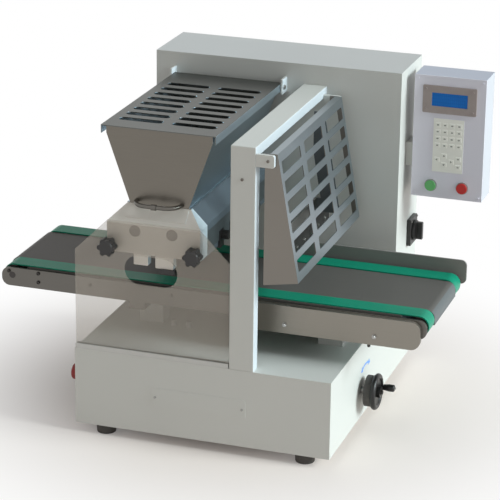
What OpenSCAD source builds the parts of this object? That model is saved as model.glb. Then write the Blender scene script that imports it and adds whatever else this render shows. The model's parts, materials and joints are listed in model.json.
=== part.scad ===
// Tabletop cookie depositor: two feed rollers press dough from a hopper through nozzles onto trays
// that two belts carry under the head. Millimetres, X to the right, Y to the back, Z up.
// The origin is on the floor under the middle of the base.

/* [Base] */
// Width of the base and of the rear housing
base_w = 640; // [600:10:760]
// Depth of the base
base_d = 750; // [740:10:860]
// Height of the base box without its feet
base_h = 194; // [186:2:240]
// Thickness of the painted sheet
sheet_t = 3; // [2:0.5:4]
// Height of a foot
foot_h = 25; // [20:1:40]
// Radius of a foot
foot_r = 25; // [18:1:28]
// Distance from a side face to a foot's centre
foot_inset_x = 68; // [40:1:80]
// Distance from the front or back face to a foot's centre
foot_inset_y = 30; // [28:1:60]

/* [Rear housing] */
// Depth of the housing behind the head
housing_d = 195; // [190:5:230]
// Height of the housing above the base
housing_h = 598; // [580:2:650]
// Thickness of the rear cover
cover_t = 2; // [1.5:0.5:3]

/* [Bridge frame] */
// Distance of the post's centre right of the machine's centre
post_x = 100; // [90:2:120]
// Width of the post and the beam
post_w = 60; // [40:2:70]
// Depth of the post
post_t = 30; // [24:2:40]
// Height of the beam's top above the base
bridge_h = 548; // [530:2:580]
// Height of the beam
beam_h = 25; // [20:1:30]
// Wall of the post and the beam
tube_t = 3; // [2:0.5:4]

/* [Outfeed guard] */
// Distance of the swing axis right of the post
hinge_out = 29; // [26:1:36]
// Distance of the swing axis below the beam's top
hinge_drop = 29; // [26:1:36]
// Thickness of an ear
ear_t = 10; // [6:1:12]
// Radius of a swing pin
guard_pin_r = 4; // [3:0.5:5]
// Thickness of the guard's sheet
guard_t = 2; // [1.5:0.5:3]
// Width of a side panel at its top
guard_top_w = 30; // [26:1:36]
// How far the sloped sheet leans out
guard_lean = 54; // [30:2:70]
// Height of the sloped sheet
guard_slope_h = 304; // [280:2:310]
// Length of a window in the sloped sheet
window_l = 138; // [110:1:145]
// Height of a window in the sloped sheet
window_h = 30; // [18:1:30]

/* [Clear guard] */
// Thickness of the clear sheet
clear_t = 6; // [4:0.5:8]
// Height of the clear guard's top above the base
clear_h = 332; // [326:1:336]
// Width of the hand slot
hand_slot_w = 133; // [110:1:150]
// Height of the hand slot
hand_slot_h = 72; // [60:1:80]

/* [Head] */
// Place of the head's centre plane across the machine
head_x = -122; // [-127:1:-112]
// Height of the roller axes above the base
roller_rise = 310; // [306:1:326]
// Radius of a feed roller
roller_r = 45.5; // [43:0.5:46]
// Radius of a roller's shaft
shaft_r = 12; // [10:0.5:13]
// Width of the front block
block_w = 232; // [228:2:244]
// Depth of the front block
block_d = 50; // [45:1:60]
// Width of the head body
body_w = 210; // [206:2:216]
// Height of the head above the roller axes
head_above = 55; // [52:1:60]
// Depth of the head below the roller axes
head_below = 56; // [52:1:60]
// Thickness of the nozzle plate
nozzle_plate_t = 15; // [10:1:18]
// Number of nozzles
nozzle_count = 6; // [3:1:7]
// Length of a nozzle below its plate
nozzle_l = 25; // [18:1:28]

/* [Hopper] */
// Width of the hopper at its rim
hopper_top_w = 263; // [250:1:280]
// Width of the hopper at its foot
hopper_foot_w = 146; // [136:1:160]
// Height of the hopper
hopper_h = 183; // [160:1:190]
// Thickness of the hopper's sheet
hopper_t = 2; // [1.5:0.5:3]
// Width of the bow handle
handle_w = 122; // [100:1:140]
// Reach of the bow handle in front of the hopper
handle_reach = 36; // [26:1:40]
// Rows of slots in the lid
lid_rows = 8; // [4:1:8]
// Length of a slot in the lid
lid_slot_w = 110; // [80:1:115]

/* [Conveyor] */
// Distance of the conveyor's centre line behind the base's front face
conveyor_in = 290; // [284:1:296]
// Place of the belts' middle along the machine
conveyor_x = -24; // [-30:1:0]
// Height of the belts' top above the base
belt_rise = 140; // [134:1:146]
// Distance between the two belt shafts
shaft_span = 1024; // [980:2:1080]
// Outer radius of a belt where it turns
belt_r = 26; // [24:0.5:28]
// Width of a belt
belt_w = 50; // [40:1:52]
// Distance between the two belts
belt_space = 208; // [200:1:212]
// Thickness of a belt
belt_t = 2.7; // [2:0.1:4]
// Thickness of a side plate
plate_t = 8; // [6:0.5:10]
// Height of a side plate
plate_h = 47; // [40:1:48]
// Thickness of the bed sheet
bed_t = 3; // [2:0.5:4]
// Length of the front cover
cover_l = 419; // [380:1:425]
// Length of the rear fence
fence_l = 445; // [400:1:450]
// Height of the rear fence
fence_h = 61; // [50:1:66]

/* [Lift] */
// Distance of the lift shaft behind the base's front face
lift_in = 266; // [260:1:272]
// Height of the lift shaft above the base's underside
lift_rise = 72; // [64:1:80]
// Module of the lift teeth
lift_module = 2; // [1.5:0.25:2.25]
// Radius of the lift shaft
lift_shaft_r = 8; // [6:0.5:8]
// Outer radius of the handwheel
wheel_r = 45; // [43:1:55]
// Length of the crank handle's grip
grip_l = 28; // [26:1:50]

/* [Controls] */
// Width of the control box
box_w = 181; // [170:1:200]
// Depth of the control box
box_d = 87; // [70:1:100]
// Height of the control box
box_h = 313; // [300:1:330]
// Gap between the control box and the housing
box_gap = 20; // [14:1:30]
// Radius of the start and stop buttons
button_r = 13.5; // [9:0.5:14]
// Travel of the start and stop buttons
button_travel = 4; // [3:0.5:5]
// Radius of the emergency stop's mushroom
stop_r = 20; // [18:0.5:22]
// Travel of the emergency stop
stop_travel = 6; // [4:0.5:8]
// Side of the main switch's square knob plate
switch_w = 65; // [60:1:75]

/* [Hidden] */
$fn = 64;

// Clearances and the overrun of cuts
over = 1;
run_fit = 0.05;
slide_fit = 0.1;
seat_gap = 0.3;
hole_clear = 2;

// Faces of the base and the housing
left_x = -base_w / 2;
right_x = base_w / 2;
front_y = -base_d / 2;
back_y = base_d / 2;
base_top = foot_h + base_h;
floor_top = foot_h + sheet_t;
housing_y = back_y - housing_d;
housing_top = base_top + housing_h;
cover_y = back_y - cover_t;

// Feet, their studs and nuts
foot_taper = 2;
stud_r = 5;
stud_seat = 12;
stud_nut_r = 9;
stud_nut_h = 8;
stud_end = 4;
foot_places = [for (x = [left_x + foot_inset_x, right_x - foot_inset_x])
    for (y = [front_y + foot_inset_y, back_y - foot_inset_y]) [x, y]];

// Rear cover: return lip, screws, vents and gland
lip_w = 18;
screw_r = 2.5;
screw_head_r = 5;
screw_head_h = 3;
screw_inset = 9;
screw_rows = 4;
vent_rows = 8;
vent_w = 90;
vent_h = 6;
vent_pitch = 16;
vent_x = 120;
vent_drop = 90;
gland_in = 120;
gland_rise = 70;
gland_r = 12;
gland_neck_r = 8;
gland_bore_r = 5;
gland_l = 26;
gland_nut_l = 6;

// Bridge frame and the ears of the outfeed guard
post_left = post_x - post_w / 2;
post_right = post_x + post_w / 2;
bridge_top = base_top + bridge_h;
beam_z = bridge_top - beam_h;
hinge_x = post_right + hinge_out;
hinge_z = bridge_top - hinge_drop;
ear_reach = 15;
ear_below = 16;
ear_above = 14;
ear_corner = 5;
ear_inset = 21;
guard_gap = 2;
guard_front = front_y + ear_t + guard_gap;
guard_back = housing_y - ear_inset - ear_t - guard_gap;
guard_pin_end = 3;

// Outfeed guard outline seen along the swing axis
guard_inset = 11;
guard_rise = 15;
guard_toe = 14;
guard_flange_w = 17;
lean_angle = atan(guard_lean / guard_slope_h);
guard_skin = guard_t / cos(lean_angle);
guard_left_x = hinge_x - guard_inset;
guard_brow_x = guard_left_x + guard_top_w;
guard_toe_x = guard_brow_x + guard_lean;
guard_top_z = hinge_z + guard_rise;
guard_toe_z = guard_top_z - guard_slope_h;
guard_lug_z = hinge_z - guard_rise;
guard_lug_x = guard_brow_x + 2 * guard_rise * tan(lean_angle) - guard_flange_w;
window_cols = 3;
window_rows = 6;
window_r = 4;
window_gap_y = 32;
window_gap = 17;

// Clear guard in its channel
clear_inset = 2;
channel_lip = 4;
channel_h = 12;
channel_floor = 3;
clear_front = front_y + channel_lip;
clear_back = clear_front + clear_t;
clear_left = left_x + clear_inset;
clear_right = post_left - clear_inset;
clear_bottom = base_top + channel_floor;
clear_top = base_top + clear_h;
clear_cut_left = 83;
clear_cut_right = 74;
hand_slot_off = 5;
hand_slot_rise = 215;
hand_slot_x = head_x - hand_slot_off;
hand_slot_z = base_top + hand_slot_rise;

// Head, rollers and bearings
roller_clear = 0.5;
roller_nip = 1;
roller_pitch = 2 * roller_r + roller_nip;
roller_x = [head_x - roller_pitch / 2, head_x + roller_pitch / 2];
roller_z = base_top + roller_rise;
head_top = roller_z + head_above;
head_bottom = roller_z - head_below;
block_front = clear_back;
block_back = block_front + block_d;
block_cut = 37;
block_slope = 40;
body_right = head_x + body_w / 2;
body_left = head_x - body_w / 2;
shoulder_in = 1;
shoulder_h = 54;
rear_wall = 30;
chamber_back = housing_y - rear_wall;
throat_w = 120;
exit_w = 24;
bearing_r = 20;
bearing_l = 20;
cap_r = 14;
cap_t = 6;
flute_count = 14;
flute_r = 6;
roller_end = 1;
shaft_clear = 2;

// Clamp knobs of the clear guard
knob_spread = 106;
knob_drop = 38;
knob_r = 17.5;
knob_l = 26;
knob_collar_r = 11;
knob_collar_l = 5;
knob_stud_r = 4;
knob_stud_seat = 28;
knob_bead = 4;

// Nozzle plate, nozzles and clamps
nozzle_inset = 60;
nozzle_r = 17;
nozzle_tip_r = 9;
nozzle_bore_r = 6;
nozzle_neck_r = 10;
nozzle_neck_l = 8;
nozzle_plate_bottom = head_bottom - nozzle_plate_t;
nozzle_plate_back = chamber_back;
clamp_count = 4;
clamp_w = 26;
clamp_t = 6;
clamp_hook = 10;
clamp_lip = 4;
clamp_rise = 24;
clamp_knob_r = 10;
clamp_knob_l = 18;
clamp_first = 120;
clamp_pitch = (nozzle_plate_back - block_back - 2 * clamp_first) / (clamp_count - 1);

// Roller gears, pinion and gearmotor inside the housing
gear_teeth = 23;
pinion_teeth = 12;
gear_module = roller_pitch / gear_teeth;
gear_gap = 14;
gear_w = 16;
gear_y = housing_y + sheet_t + gear_gap;
gear_tail = 4;
pinion_z = roller_z - gear_module * (gear_teeth + pinion_teeth) / 2;
pinion_shaft_r = 9;
pinion_tail = 22;
motor_flange_y = gear_y + gear_w + 2 * gear_tail;
motor_flange_t = 10;
motor_r = 45;
motor_l = 130;
motor_lug_x = 60;
motor_lug_up = 10;
motor_lug_down = 70;
motor_lug_r = 6;
motor_margin = 10;
motor_cap_r = 36;
tooth_share = 0.8;
addendum_share = 0.8;
dedendum_share = 1.15;
flank_angle = 20;

// Hopper, handle and lid
hopper_front = block_front + block_slope;
hopper_inset = 30;
hopper_back = housing_y - hopper_inset;
hopper_top = head_top + hopper_h;
hopper_rim_h = 18;
hopper_lip_w = 7;
handle_r = 5;
handle_rise = 7;
handle_z = head_top + handle_rise;
handle_clip_w = 12;
handle_clip_t = 2;
lid_over = 10;
lid_front_over = 8;
lid_t = 2;
lid_skirt_h = 20;
lid_slot_d = 24;
lid_slot_pitch = 46;
lid_slot_in = 53;
lid_slot_x = 66;
lid_axis_in = 25;
lid_axis_drop = 7;
lid_tail = 7;
lid_pin_r = 4;
lid_pin_end = 2;
lid_gap = 2;
bracket_t = 5;
bracket_front = 12;
bracket_below = 16;
bracket_above = 22;
lid_axis_y = housing_y - lid_axis_in;
lid_axis_z = hopper_top - lid_axis_drop;
lid_half = hopper_top_w / 2 + lid_over;
lid_bottom = hopper_top + seat_gap;
lid_front = hopper_front - lid_front_over;
lid_back = lid_axis_y + lid_tail;

// Control box and what is on its panel
box_inset = 58;
box_drop = 11;
box_wall = 2;
panel_t = 3;
box_left = right_x + box_gap;
box_right = box_left + box_w;
box_x = box_left + box_w / 2;
box_back = back_y - box_inset;
box_front = box_back - box_d;
box_top = housing_top - box_drop;
box_bottom = box_top - box_h;
bezel_w = 136;
bezel_h = 70;
bezel_t = 4;
bezel_r = 3;
bezel_drop = 59;
screen_w = 90;
screen_h = 34;
screen_t = 2;
keypad_w = 77;
keypad_h = 137;
keypad_t = 1;
keypad_drop = 176;
key_w = 13;
key_h = 11;
key_t = 1.2;
key_pitch_x = 18;
key_pitch_z = 17.5;
key_margin = 16;
key_cols = 4;
key_rows = 4;
arrow_shares = [[1, 4.5], [0, 5.1], [2, 5.3], [1, 5.8], [3, 4.8], [3, 6]];
button_spread = 40;
button_rise = 32;
button_z = box_bottom + button_rise;
button_cap = 5;
button_stem_r = 8;
button_stem_l = 16;
collar_r = 15.5;
collar_h = 4;
bracket_w = 56;
bracket_h = 60;
bracket_rise = 72;
bracket_wall = 3;

// Main switch and emergency stop
switch_h = 70;
switch_t = 11;
switch_in = 62;
switch_rise = 153;
switch_y = back_y - switch_in;
switch_z = base_top + switch_rise;
switch_stem_r = 5;
switch_stem_l = 9;
switch_disc_r = 26;
switch_disc_t = 7;
switch_grip_w = 14;
switch_grip_h = 46;
switch_grip_t = 16;
switch_corner = 4;
stop_in = 80;
stop_y = front_y + stop_in;
stop_z = foot_h + base_h / 2;
stop_collar_r = 16;
stop_collar_h = 14;
stop_neck_r = 11;
stop_stem_r = 6;
stop_box_l = 34;
stop_box_r = 15;
stop_cap_l = 18;
stop_bead = 6;

// Lift shaft, racks, guides and handwheel
lift_teeth = 12;
lift_y = front_y + lift_in;
lift_z = foot_h + lift_rise;
lift_r = lift_module * lift_teeth / 2;
rack_shares = [0.1734375, 0.8921875];
rack_x = [left_x + rack_shares[0] * base_w, left_x + rack_shares[1] * base_w];
rack_w = 16;
rack_d = 16;
rack_pitch = PI * lift_module;
rack_teeth_down = 7;
rack_teeth_up = 4;
rack_face_y = lift_y - lift_r;
rack_back_y = rack_face_y - rack_d;
rack_end = 4;
rack_root = lift_module * dedendum_share;
rack_bottom = lift_z - rack_teeth_down * rack_pitch - rack_end;
rod_r = 8;
rod_in = 400;
rod_y = front_y + rod_in;
rod_below = 110;
guide_w = 62;
guide_d = 45;
guide_h = 45;
guide_hole_clear = 3;
pedestal_t = 16;
pedestal_w = 44;
pedestal_over = 16;
pedestal_gap = 10;
lift_shaft_tail = 18;
wheel_off = 38;
wheel_x = right_x + wheel_off;
wheel_rim_r = 7;
wheel_web_t = 6;
hub_r = 14;
hub_l = 24;
crank_r = 33;
crank_pin_r = 4;
grip_r = 9;
grip_neck_r = 7;
grip_gap = 2;
grip_wall = 4;
grip_bead = 4;
crank_y = lift_y + crank_r;

// Conveyor
belt_top = base_top + belt_rise;
conveyor_y = front_y + conveyor_in;
belt_axis_z = belt_top - belt_r;
shaft_x = [conveyor_x - shaft_span / 2, conveyor_x + shaft_span / 2];
conveyor_shaft_r = 8;
pulley_r = belt_r - belt_t - seat_gap;
pulley_inset = 1;
belt_half = belt_space / 2 + belt_w / 2;
plate_gap = 3;
plate_inner = belt_space / 2 + belt_w + plate_gap;
plate_outer = plate_inner + plate_t;
plate_drop = 7;
plate_top = belt_top - plate_drop;
plate_bottom = plate_top - plate_h;
plate_end_left = 28;
plate_end_right = 23;
plate_r = 20;
plate_x0 = shaft_x[0] - plate_end_left;
plate_x1 = shaft_x[1] + plate_end_right;
bed_drop = belt_t + seat_gap;
bed_top = belt_top - bed_drop;
bed_under = bed_top - bed_t;
slide_in = 40;
slide_lip = 12;
bed_gap = 2;
bed_half = belt_space / 2 - bed_gap;
bed_nose_r = 20;
bed_nose_drop = 16;
bed_end_left = 9;
bed_end_right = 6;
bed_x0 = shaft_x[0] - bed_end_left;
bed_x1 = shaft_x[1] + bed_end_right;
cross_w = 40;
cross_h = 18;
cross_bottom = plate_bottom - cross_h;
riser_w = 30;
riser_wall = 5;
riser_gap = 12;
riser_half = bed_half - riser_gap;
front_cover_t = 2;
front_cover_d = 13;
front_cover_h = 69;
front_cover_drop = 2;
front_cover_r = 24;
front_cover_past = 11;
front_cover_x1 = shaft_x[1] + front_cover_past;
front_cover_x0 = front_cover_x1 - cover_l;
front_cover_top = plate_top - front_cover_drop;
front_cover_bottom = front_cover_top - front_cover_h;
fence_t = 5;
fence_lap = 22;
fence_r = 14;
fence_past = 37;
fence_x1 = shaft_x[1] + fence_past;
fence_x0 = fence_x1 - fence_l;
fence_bottom = plate_top - fence_lap;
gearbox_l = 46;
gearbox_w = 50;
gearbox_r = 18;
gearbox_off = 65;
gearbox_drop = 45;
belt_motor_r = 21;
belt_motor_l = 136;
belt_motor_drop = 23;
gearbox_y = conveyor_y - gearbox_off;

// A box from its lowest corner to its highest corner
module block(low, high) {
    translate(low)
        cube(high - low);
}

// Round bars along the three axes
module bar_x(r, x0, x1, y, z) {
    translate([x0, y, z])
        rotate([0, 90, 0])
            cylinder(r = r, h = x1 - x0);
}

module bar_y(r, y0, y1, x, z) {
    translate([x, y1, z])
        rotate([90, 0, 0])
            cylinder(r = r, h = y1 - y0);
}

module bar_z(r, z0, z1, x, y) {
    translate([x, y, z0])
        cylinder(r = r, h = z1 - z0);
}

// An outline in X and Z drawn out along Y, or in Y and Z drawn out along X
module along_y(y0, y1) {
    translate([0, y1, 0])
        rotate([90, 0, 0])
            linear_extrude(y1 - y0)
                children();
}

module along_x(x0, x1) {
    translate([x0, 0, 0])
        rotate([90, 0, 90])
            linear_extrude(x1 - x0)
                children();
}

// A rectangle about the origin with round corners
module round_rect(w, h, r) {
    square([w - 2 * r, h], center = true);
    square([w, h - 2 * r], center = true);
    for (x = [-1, 1])
        for (y = [-1, 1])
            translate([x * (w / 2 - r), y * (h / 2 - r)])
                circle(r);
}

// A toothed wheel outline: straight flanks, four corners a tooth, one tooth at the given turn
function tooth_half(m, rise) = PI * m / 4 * tooth_share - rise * tan(flank_angle);
function tooth_corner(m, r, rise, side) =
    let (reach = r + rise, angle = tooth_half(m, rise) / r * 180 / PI)
    [reach, side * angle];
function gear_points(m, n, turn) = [
    for (i = [0 : n - 1])
        for (c = [
            tooth_corner(m, m * n / 2, -m * dedendum_share, -1),
            tooth_corner(m, m * n / 2, m * addendum_share, -1),
            tooth_corner(m, m * n / 2, m * addendum_share, 1),
            tooth_corner(m, m * n / 2, -m * dedendum_share, 1)
        ])
            let (a = turn + i * 360 / n + c[1])
            c[0] * [cos(a), sin(a)]
];

module base_shell() {
    color("gainsboro")
        difference() {
            block([left_x, front_y, foot_h], [right_x, back_y, base_top]);
            block([left_x + sheet_t, front_y + sheet_t, foot_h - over],
                [right_x - sheet_t, back_y - sheet_t, base_top - sheet_t]);
            for (x = rack_x) {
                block([x - rack_w / 2 - guide_hole_clear, rack_back_y - guide_hole_clear, base_top - sheet_t - over],
                    [x + rack_w / 2 + guide_hole_clear, rack_face_y + guide_hole_clear, base_top + over]);
                bar_z(rod_r + guide_hole_clear, base_top - sheet_t - over, base_top + over, x, rod_y);
            }
            bar_x(lift_shaft_r + hole_clear, right_x - sheet_t - over, right_x + over, lift_y, lift_z);
            bar_x(stop_neck_r + run_fit, left_x - over, left_x + sheet_t + over, stop_y, stop_z);
        }
}

module base_bottom() {
    color("silver")
        difference() {
            block([left_x + sheet_t, front_y + sheet_t, foot_h], [right_x - sheet_t, back_y - sheet_t, floor_top]);
            for (p = foot_places)
                bar_z(stud_r + run_fit, foot_h - over, floor_top + over, p[0], p[1]);
        }
}

module feet() {
    color("#202020")
        for (p = foot_places)
            difference() {
                translate([p[0], p[1], 0])
                    cylinder(r1 = foot_r - foot_taper, r2 = foot_r, h = foot_h);
                bar_z(stud_r + run_fit, foot_h - stud_seat, foot_h + over, p[0], p[1]);
            }
}

module foot_studs() {
    color("silver")
        for (p = foot_places) {
            bar_z(stud_r, foot_h - stud_seat, floor_top + stud_nut_h + stud_end, p[0], p[1]);
            translate([p[0], p[1], floor_top])
                cylinder(r = stud_nut_r, h = stud_nut_h, $fn = 6);
        }
}

// Places of the screws along the two sides of the rear cover
screw_places = [for (x = [left_x + screw_inset, right_x - screw_inset])
    for (i = [0 : screw_rows - 1])
        [x, base_top + screw_inset + i * (housing_h - 2 * screw_inset) / (screw_rows - 1)]];

module rear_housing() {
    color("gainsboro")
        difference() {
            block([left_x, housing_y, base_top], [right_x, cover_y, housing_top]);
            block([left_x + sheet_t, housing_y + sheet_t, base_top - over],
                [right_x - sheet_t, cover_y - sheet_t, housing_top - sheet_t]);
            block([left_x + lip_w, cover_y - sheet_t - over, base_top - over],
                [right_x - lip_w, cover_y + over, housing_top - lip_w]);
            for (x = roller_x)
                bar_y(shaft_r + shaft_clear, housing_y - over, housing_y + sheet_t + over, x, roller_z);
            for (p = screw_places)
                bar_y(screw_r + run_fit, cover_y - sheet_t - over, cover_y + over, p[0], p[1]);
        }
}

module rear_cover() {
    color("gainsboro")
        difference() {
            block([left_x, cover_y, base_top], [right_x, back_y, housing_top]);
            for (p = screw_places)
                bar_y(screw_r + run_fit, cover_y - over, back_y + over, p[0], p[1]);
            for (x = [-vent_x, vent_x])
                for (i = [0 : vent_rows - 1])
                    translate([x, 0, housing_top - vent_drop - i * vent_pitch])
                        along_y(cover_y - over, back_y + over)
                            round_rect(vent_w, vent_h, vent_h / 2 - run_fit);
            bar_y(gland_neck_r + run_fit, cover_y - over, back_y + over, right_x - gland_in, base_top + gland_rise);
        }
}

module cover_screws() {
    color("silver")
        for (p = screw_places) {
            bar_y(screw_r, cover_y - 2 * sheet_t, back_y, p[0], p[1]);
            bar_y(screw_head_r, back_y, back_y + screw_head_h, p[0], p[1]);
        }
}

module cable_gland() {
    gland_x = right_x - gland_in;
    gland_z = base_top + gland_rise;
    color("#303030")
        difference() {
            union() {
                bar_y(gland_r, back_y, back_y + gland_l, gland_x, gland_z);
                bar_y(gland_neck_r, cover_y, back_y, gland_x, gland_z);
                bar_y(gland_r, cover_y - gland_nut_l, cover_y, gland_x, gland_z);
            }
            bar_y(gland_bore_r, cover_y - gland_nut_l - over, back_y + gland_l + over, gland_x, gland_z);
        }
}

module bridge_frame() {
    color("whitesmoke")
        difference() {
            union() {
                block([post_left, front_y, base_top], [post_right, front_y + post_t, bridge_top]);
                block([post_left, front_y, beam_z], [post_right, housing_y, bridge_top]);
            }
            block([post_left + tube_t, front_y + tube_t, base_top - over],
                [post_right - tube_t, front_y + post_t - tube_t, bridge_top - tube_t]);
            block([post_left + tube_t, front_y + tube_t, beam_z + tube_t],
                [post_right - tube_t, housing_y + over, bridge_top - tube_t]);
        }
}

// One ear outline: square at the frame, round at its free corners
module ear_outline() {
    translate([post_right, hinge_z - ear_below])
        square([hinge_out + ear_reach - ear_corner, ear_below + ear_above]);
    translate([post_right, hinge_z - ear_below + ear_corner])
        square([hinge_out + ear_reach, ear_below + ear_above - 2 * ear_corner]);
    for (z = [hinge_z - ear_below + ear_corner, hinge_z + ear_above - ear_corner])
        translate([hinge_x + ear_reach - ear_corner, z])
            circle(ear_corner);
}

module guard_ears() {
    rear_ear_y = housing_y - ear_inset - ear_t;
    pin_l = guard_gap + guard_t + guard_pin_end;
    color("gainsboro") {
        along_y(front_y, front_y + ear_t)
            ear_outline();
        bar_y(guard_pin_r, front_y + ear_t, front_y + ear_t + pin_l, hinge_x, hinge_z);
        along_y(rear_ear_y, rear_ear_y + ear_t)
            ear_outline();
        bar_y(guard_pin_r, rear_ear_y - pin_l, rear_ear_y, hinge_x, hinge_z);
    }
}

module outfeed_guard() {
    window_pitch_y = window_l + window_gap_y;
    window_pitch = window_h + window_gap;
    guard_mid = (guard_front + guard_back) / 2;
    panel = [
        [guard_left_x, guard_top_z],
        [guard_brow_x, guard_top_z],
        [guard_toe_x, guard_toe_z],
        [guard_left_x, guard_toe_z - guard_toe]
    ];
    rear_flange = [
        [guard_left_x, guard_top_z],
        [guard_brow_x, guard_top_z],
        [guard_toe_x, guard_toe_z],
        [guard_toe_x - guard_flange_w, guard_toe_z],
        [guard_lug_x, guard_lug_z],
        [guard_left_x, guard_lug_z]
    ];
    skin = [
        [guard_brow_x, guard_top_z],
        [guard_toe_x, guard_toe_z],
        [guard_toe_x - guard_skin, guard_toe_z],
        [guard_brow_x - guard_skin, guard_top_z]
    ];
    color("lightgrey")
        difference() {
            union() {
                along_y(guard_front, guard_front + guard_t)
                    polygon(panel);
                along_y(guard_back - guard_t, guard_back)
                    polygon(rear_flange);
                along_y(guard_front, guard_back)
                    polygon(skin);
                block([guard_brow_x - guard_flange_w, guard_front, guard_top_z - guard_t],
                    [guard_brow_x, guard_back, guard_top_z]);
            }
            bar_y(guard_pin_r + run_fit, guard_front - over, guard_back + over, hinge_x, hinge_z);
            translate([guard_brow_x + guard_lean / 2, guard_mid, guard_top_z - guard_slope_h / 2])
                rotate([0, 90 - lean_angle, 0])
                    for (col = [0 : window_cols - 1])
                        for (row = [0 : window_rows - 1])
                            translate([
                                (row - (window_rows - 1) / 2) * window_pitch,
                                (col - (window_cols - 1) / 2) * window_pitch_y,
                                -2 * guard_t
                            ])
                                linear_extrude(4 * guard_t)
                                    round_rect(window_h, window_l, window_r);
        }
}

module guard_channel() {
    color("silver")
        difference() {
            block([clear_left, front_y, base_top], [clear_right, clear_back + channel_lip, base_top + channel_h]);
            block([clear_left - over, clear_front - slide_fit, clear_bottom],
                [clear_right + over, clear_back + slide_fit, base_top + channel_h + over]);
        }
}

module clear_guard() {
    outline = [
        [clear_left, clear_bottom],
        [clear_right, clear_bottom],
        [clear_right, clear_top - clear_cut_right],
        [clear_right - clear_cut_right, clear_top],
        [clear_left + clear_cut_left, clear_top],
        [clear_left, clear_top - clear_cut_left]
    ];
    color("lightcyan", 0.4)
        difference() {
            along_y(clear_front, clear_back)
                polygon(outline);
            translate([hand_slot_x, 0, hand_slot_z])
                along_y(clear_front - over, clear_back + over)
                    round_rect(hand_slot_w, hand_slot_h, hand_slot_h / 2 - run_fit);
            for (side = [-1, 1])
                bar_y(knob_stud_r + hole_clear, clear_front - over, clear_back + over,
                    head_x + side * knob_spread, roller_z - knob_drop);
        }
}

// A clamp knob with its stud, beaded at its front
module guard_knob(side) {
    x = head_x + side * knob_spread;
    z = roller_z - knob_drop;
    knob_back = clear_front - seat_gap;
    knob_front = knob_back - knob_collar_l - knob_l;
    color("#181818")
        translate([x, knob_back, z])
            rotate([90, 0, 0])
                rotate_extrude() {
                    square([knob_collar_r, knob_collar_l]);
                    translate([0, knob_collar_l])
                        square([knob_r, knob_l - knob_bead]);
                    translate([0, knob_collar_l])
                        square([knob_r - knob_bead, knob_l]);
                    translate([knob_r - knob_bead, knob_collar_l + knob_l - knob_bead])
                        circle(knob_bead);
                }
    color("silver")
        bar_y(knob_stud_r, knob_front + knob_l, block_front + knob_stud_seat, x, z);
}

module guard_knob_left() {
    guard_knob(-1);
}

module guard_knob_right() {
    guard_knob(1);
}

// The body's shoulders carry on the front block's outline, its foot is narrower
module head_body() {
    shoulder_x = block_w / 2 - shoulder_in;
    shoulder_z = head_top - shoulder_h;
    outline = [
        [-body_w / 2, head_bottom],
        [body_w / 2, head_bottom],
        [body_w / 2, shoulder_z],
        [shoulder_x, shoulder_z],
        [shoulder_x, head_top - block_cut],
        [shoulder_x - block_cut, head_top],
        [block_cut - shoulder_x, head_top],
        [-shoulder_x, head_top - block_cut],
        [-shoulder_x, shoulder_z],
        [-body_w / 2, shoulder_z]
    ];
    color("lightgrey")
        difference() {
            translate([head_x, 0, 0])
                along_y(block_back, housing_y)
                    polygon(outline);
            for (x = roller_x) {
                bar_y(roller_r + roller_clear, block_back - over, chamber_back, x, roller_z);
                bar_y(bearing_r + run_fit, chamber_back - over, chamber_back + bearing_l, x, roller_z);
                bar_y(shaft_r + shaft_clear, chamber_back, housing_y + over, x, roller_z);
            }
            block([head_x - throat_w / 2, block_back - over, roller_z],
                [head_x + throat_w / 2, chamber_back, head_top + over]);
            block([head_x - exit_w / 2, block_back - over, head_bottom - over],
                [head_x + exit_w / 2, chamber_back, roller_z + over]);
        }
}

module head_front_block() {
    face = [
        [-block_w / 2, head_bottom],
        [block_w / 2, head_bottom],
        [block_w / 2, head_top - block_cut],
        [block_w / 2 - block_cut, head_top],
        [block_cut - block_w / 2, head_top],
        [-block_w / 2, head_top - block_cut]
    ];
    flank = [
        [block_front, head_bottom],
        [block_back, head_bottom],
        [block_back, head_top],
        [block_front + block_slope, head_top],
        [block_front, head_top - block_slope]
    ];
    color("lightgrey")
        difference() {
            intersection() {
                translate([head_x, 0, 0])
                    along_y(block_front, block_back)
                        polygon(face);
                along_x(head_x - block_w, head_x + block_w)
                    polygon(flank);
            }
            for (x = roller_x) {
                bar_y(cap_r + run_fit, block_front - over, block_back, x, roller_z);
                bar_y(bearing_r + run_fit, block_back - bearing_l, block_back + over, x, roller_z);
            }
            for (side = [-1, 1])
                bar_y(knob_stud_r + run_fit, block_front - over, block_front + knob_stud_seat + over,
                    head_x + side * knob_spread, roller_z - knob_drop);
        }
}

module bearing_caps() {
    color("#383838")
        for (x = roller_x)
            bar_y(cap_r, block_front, block_front + cap_t, x, roller_z);
}

module roller_bearings() {
    color("silver")
        for (x = roller_x)
            for (y = [block_back - bearing_l, chamber_back])
                difference() {
                    bar_y(bearing_r, y, y + bearing_l, x, roller_z);
                    bar_y(shaft_r + run_fit, y - over, y + bearing_l + over, x, roller_z);
                }
}

// A fluted roller with its shaft
module feed_roller(x) {
    roller_front = block_back + roller_end;
    roller_back = chamber_back - roller_end;
    color("silver") {
        difference() {
            bar_y(roller_r, roller_front, roller_back, x, roller_z);
            for (i = [0 : flute_count - 1])
                bar_y(flute_r, roller_front - over, roller_back + over,
                    x + roller_r * cos(i * 360 / flute_count), roller_z + roller_r * sin(i * 360 / flute_count));
        }
        bar_y(shaft_r, block_back - bearing_l, roller_front, x, roller_z);
        bar_y(shaft_r, roller_back, gear_y + gear_w + gear_tail, x, roller_z);
    }
}

module feed_roller_left() {
    feed_roller(roller_x[0]);
}

module feed_roller_right() {
    feed_roller(roller_x[1]);
}

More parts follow.
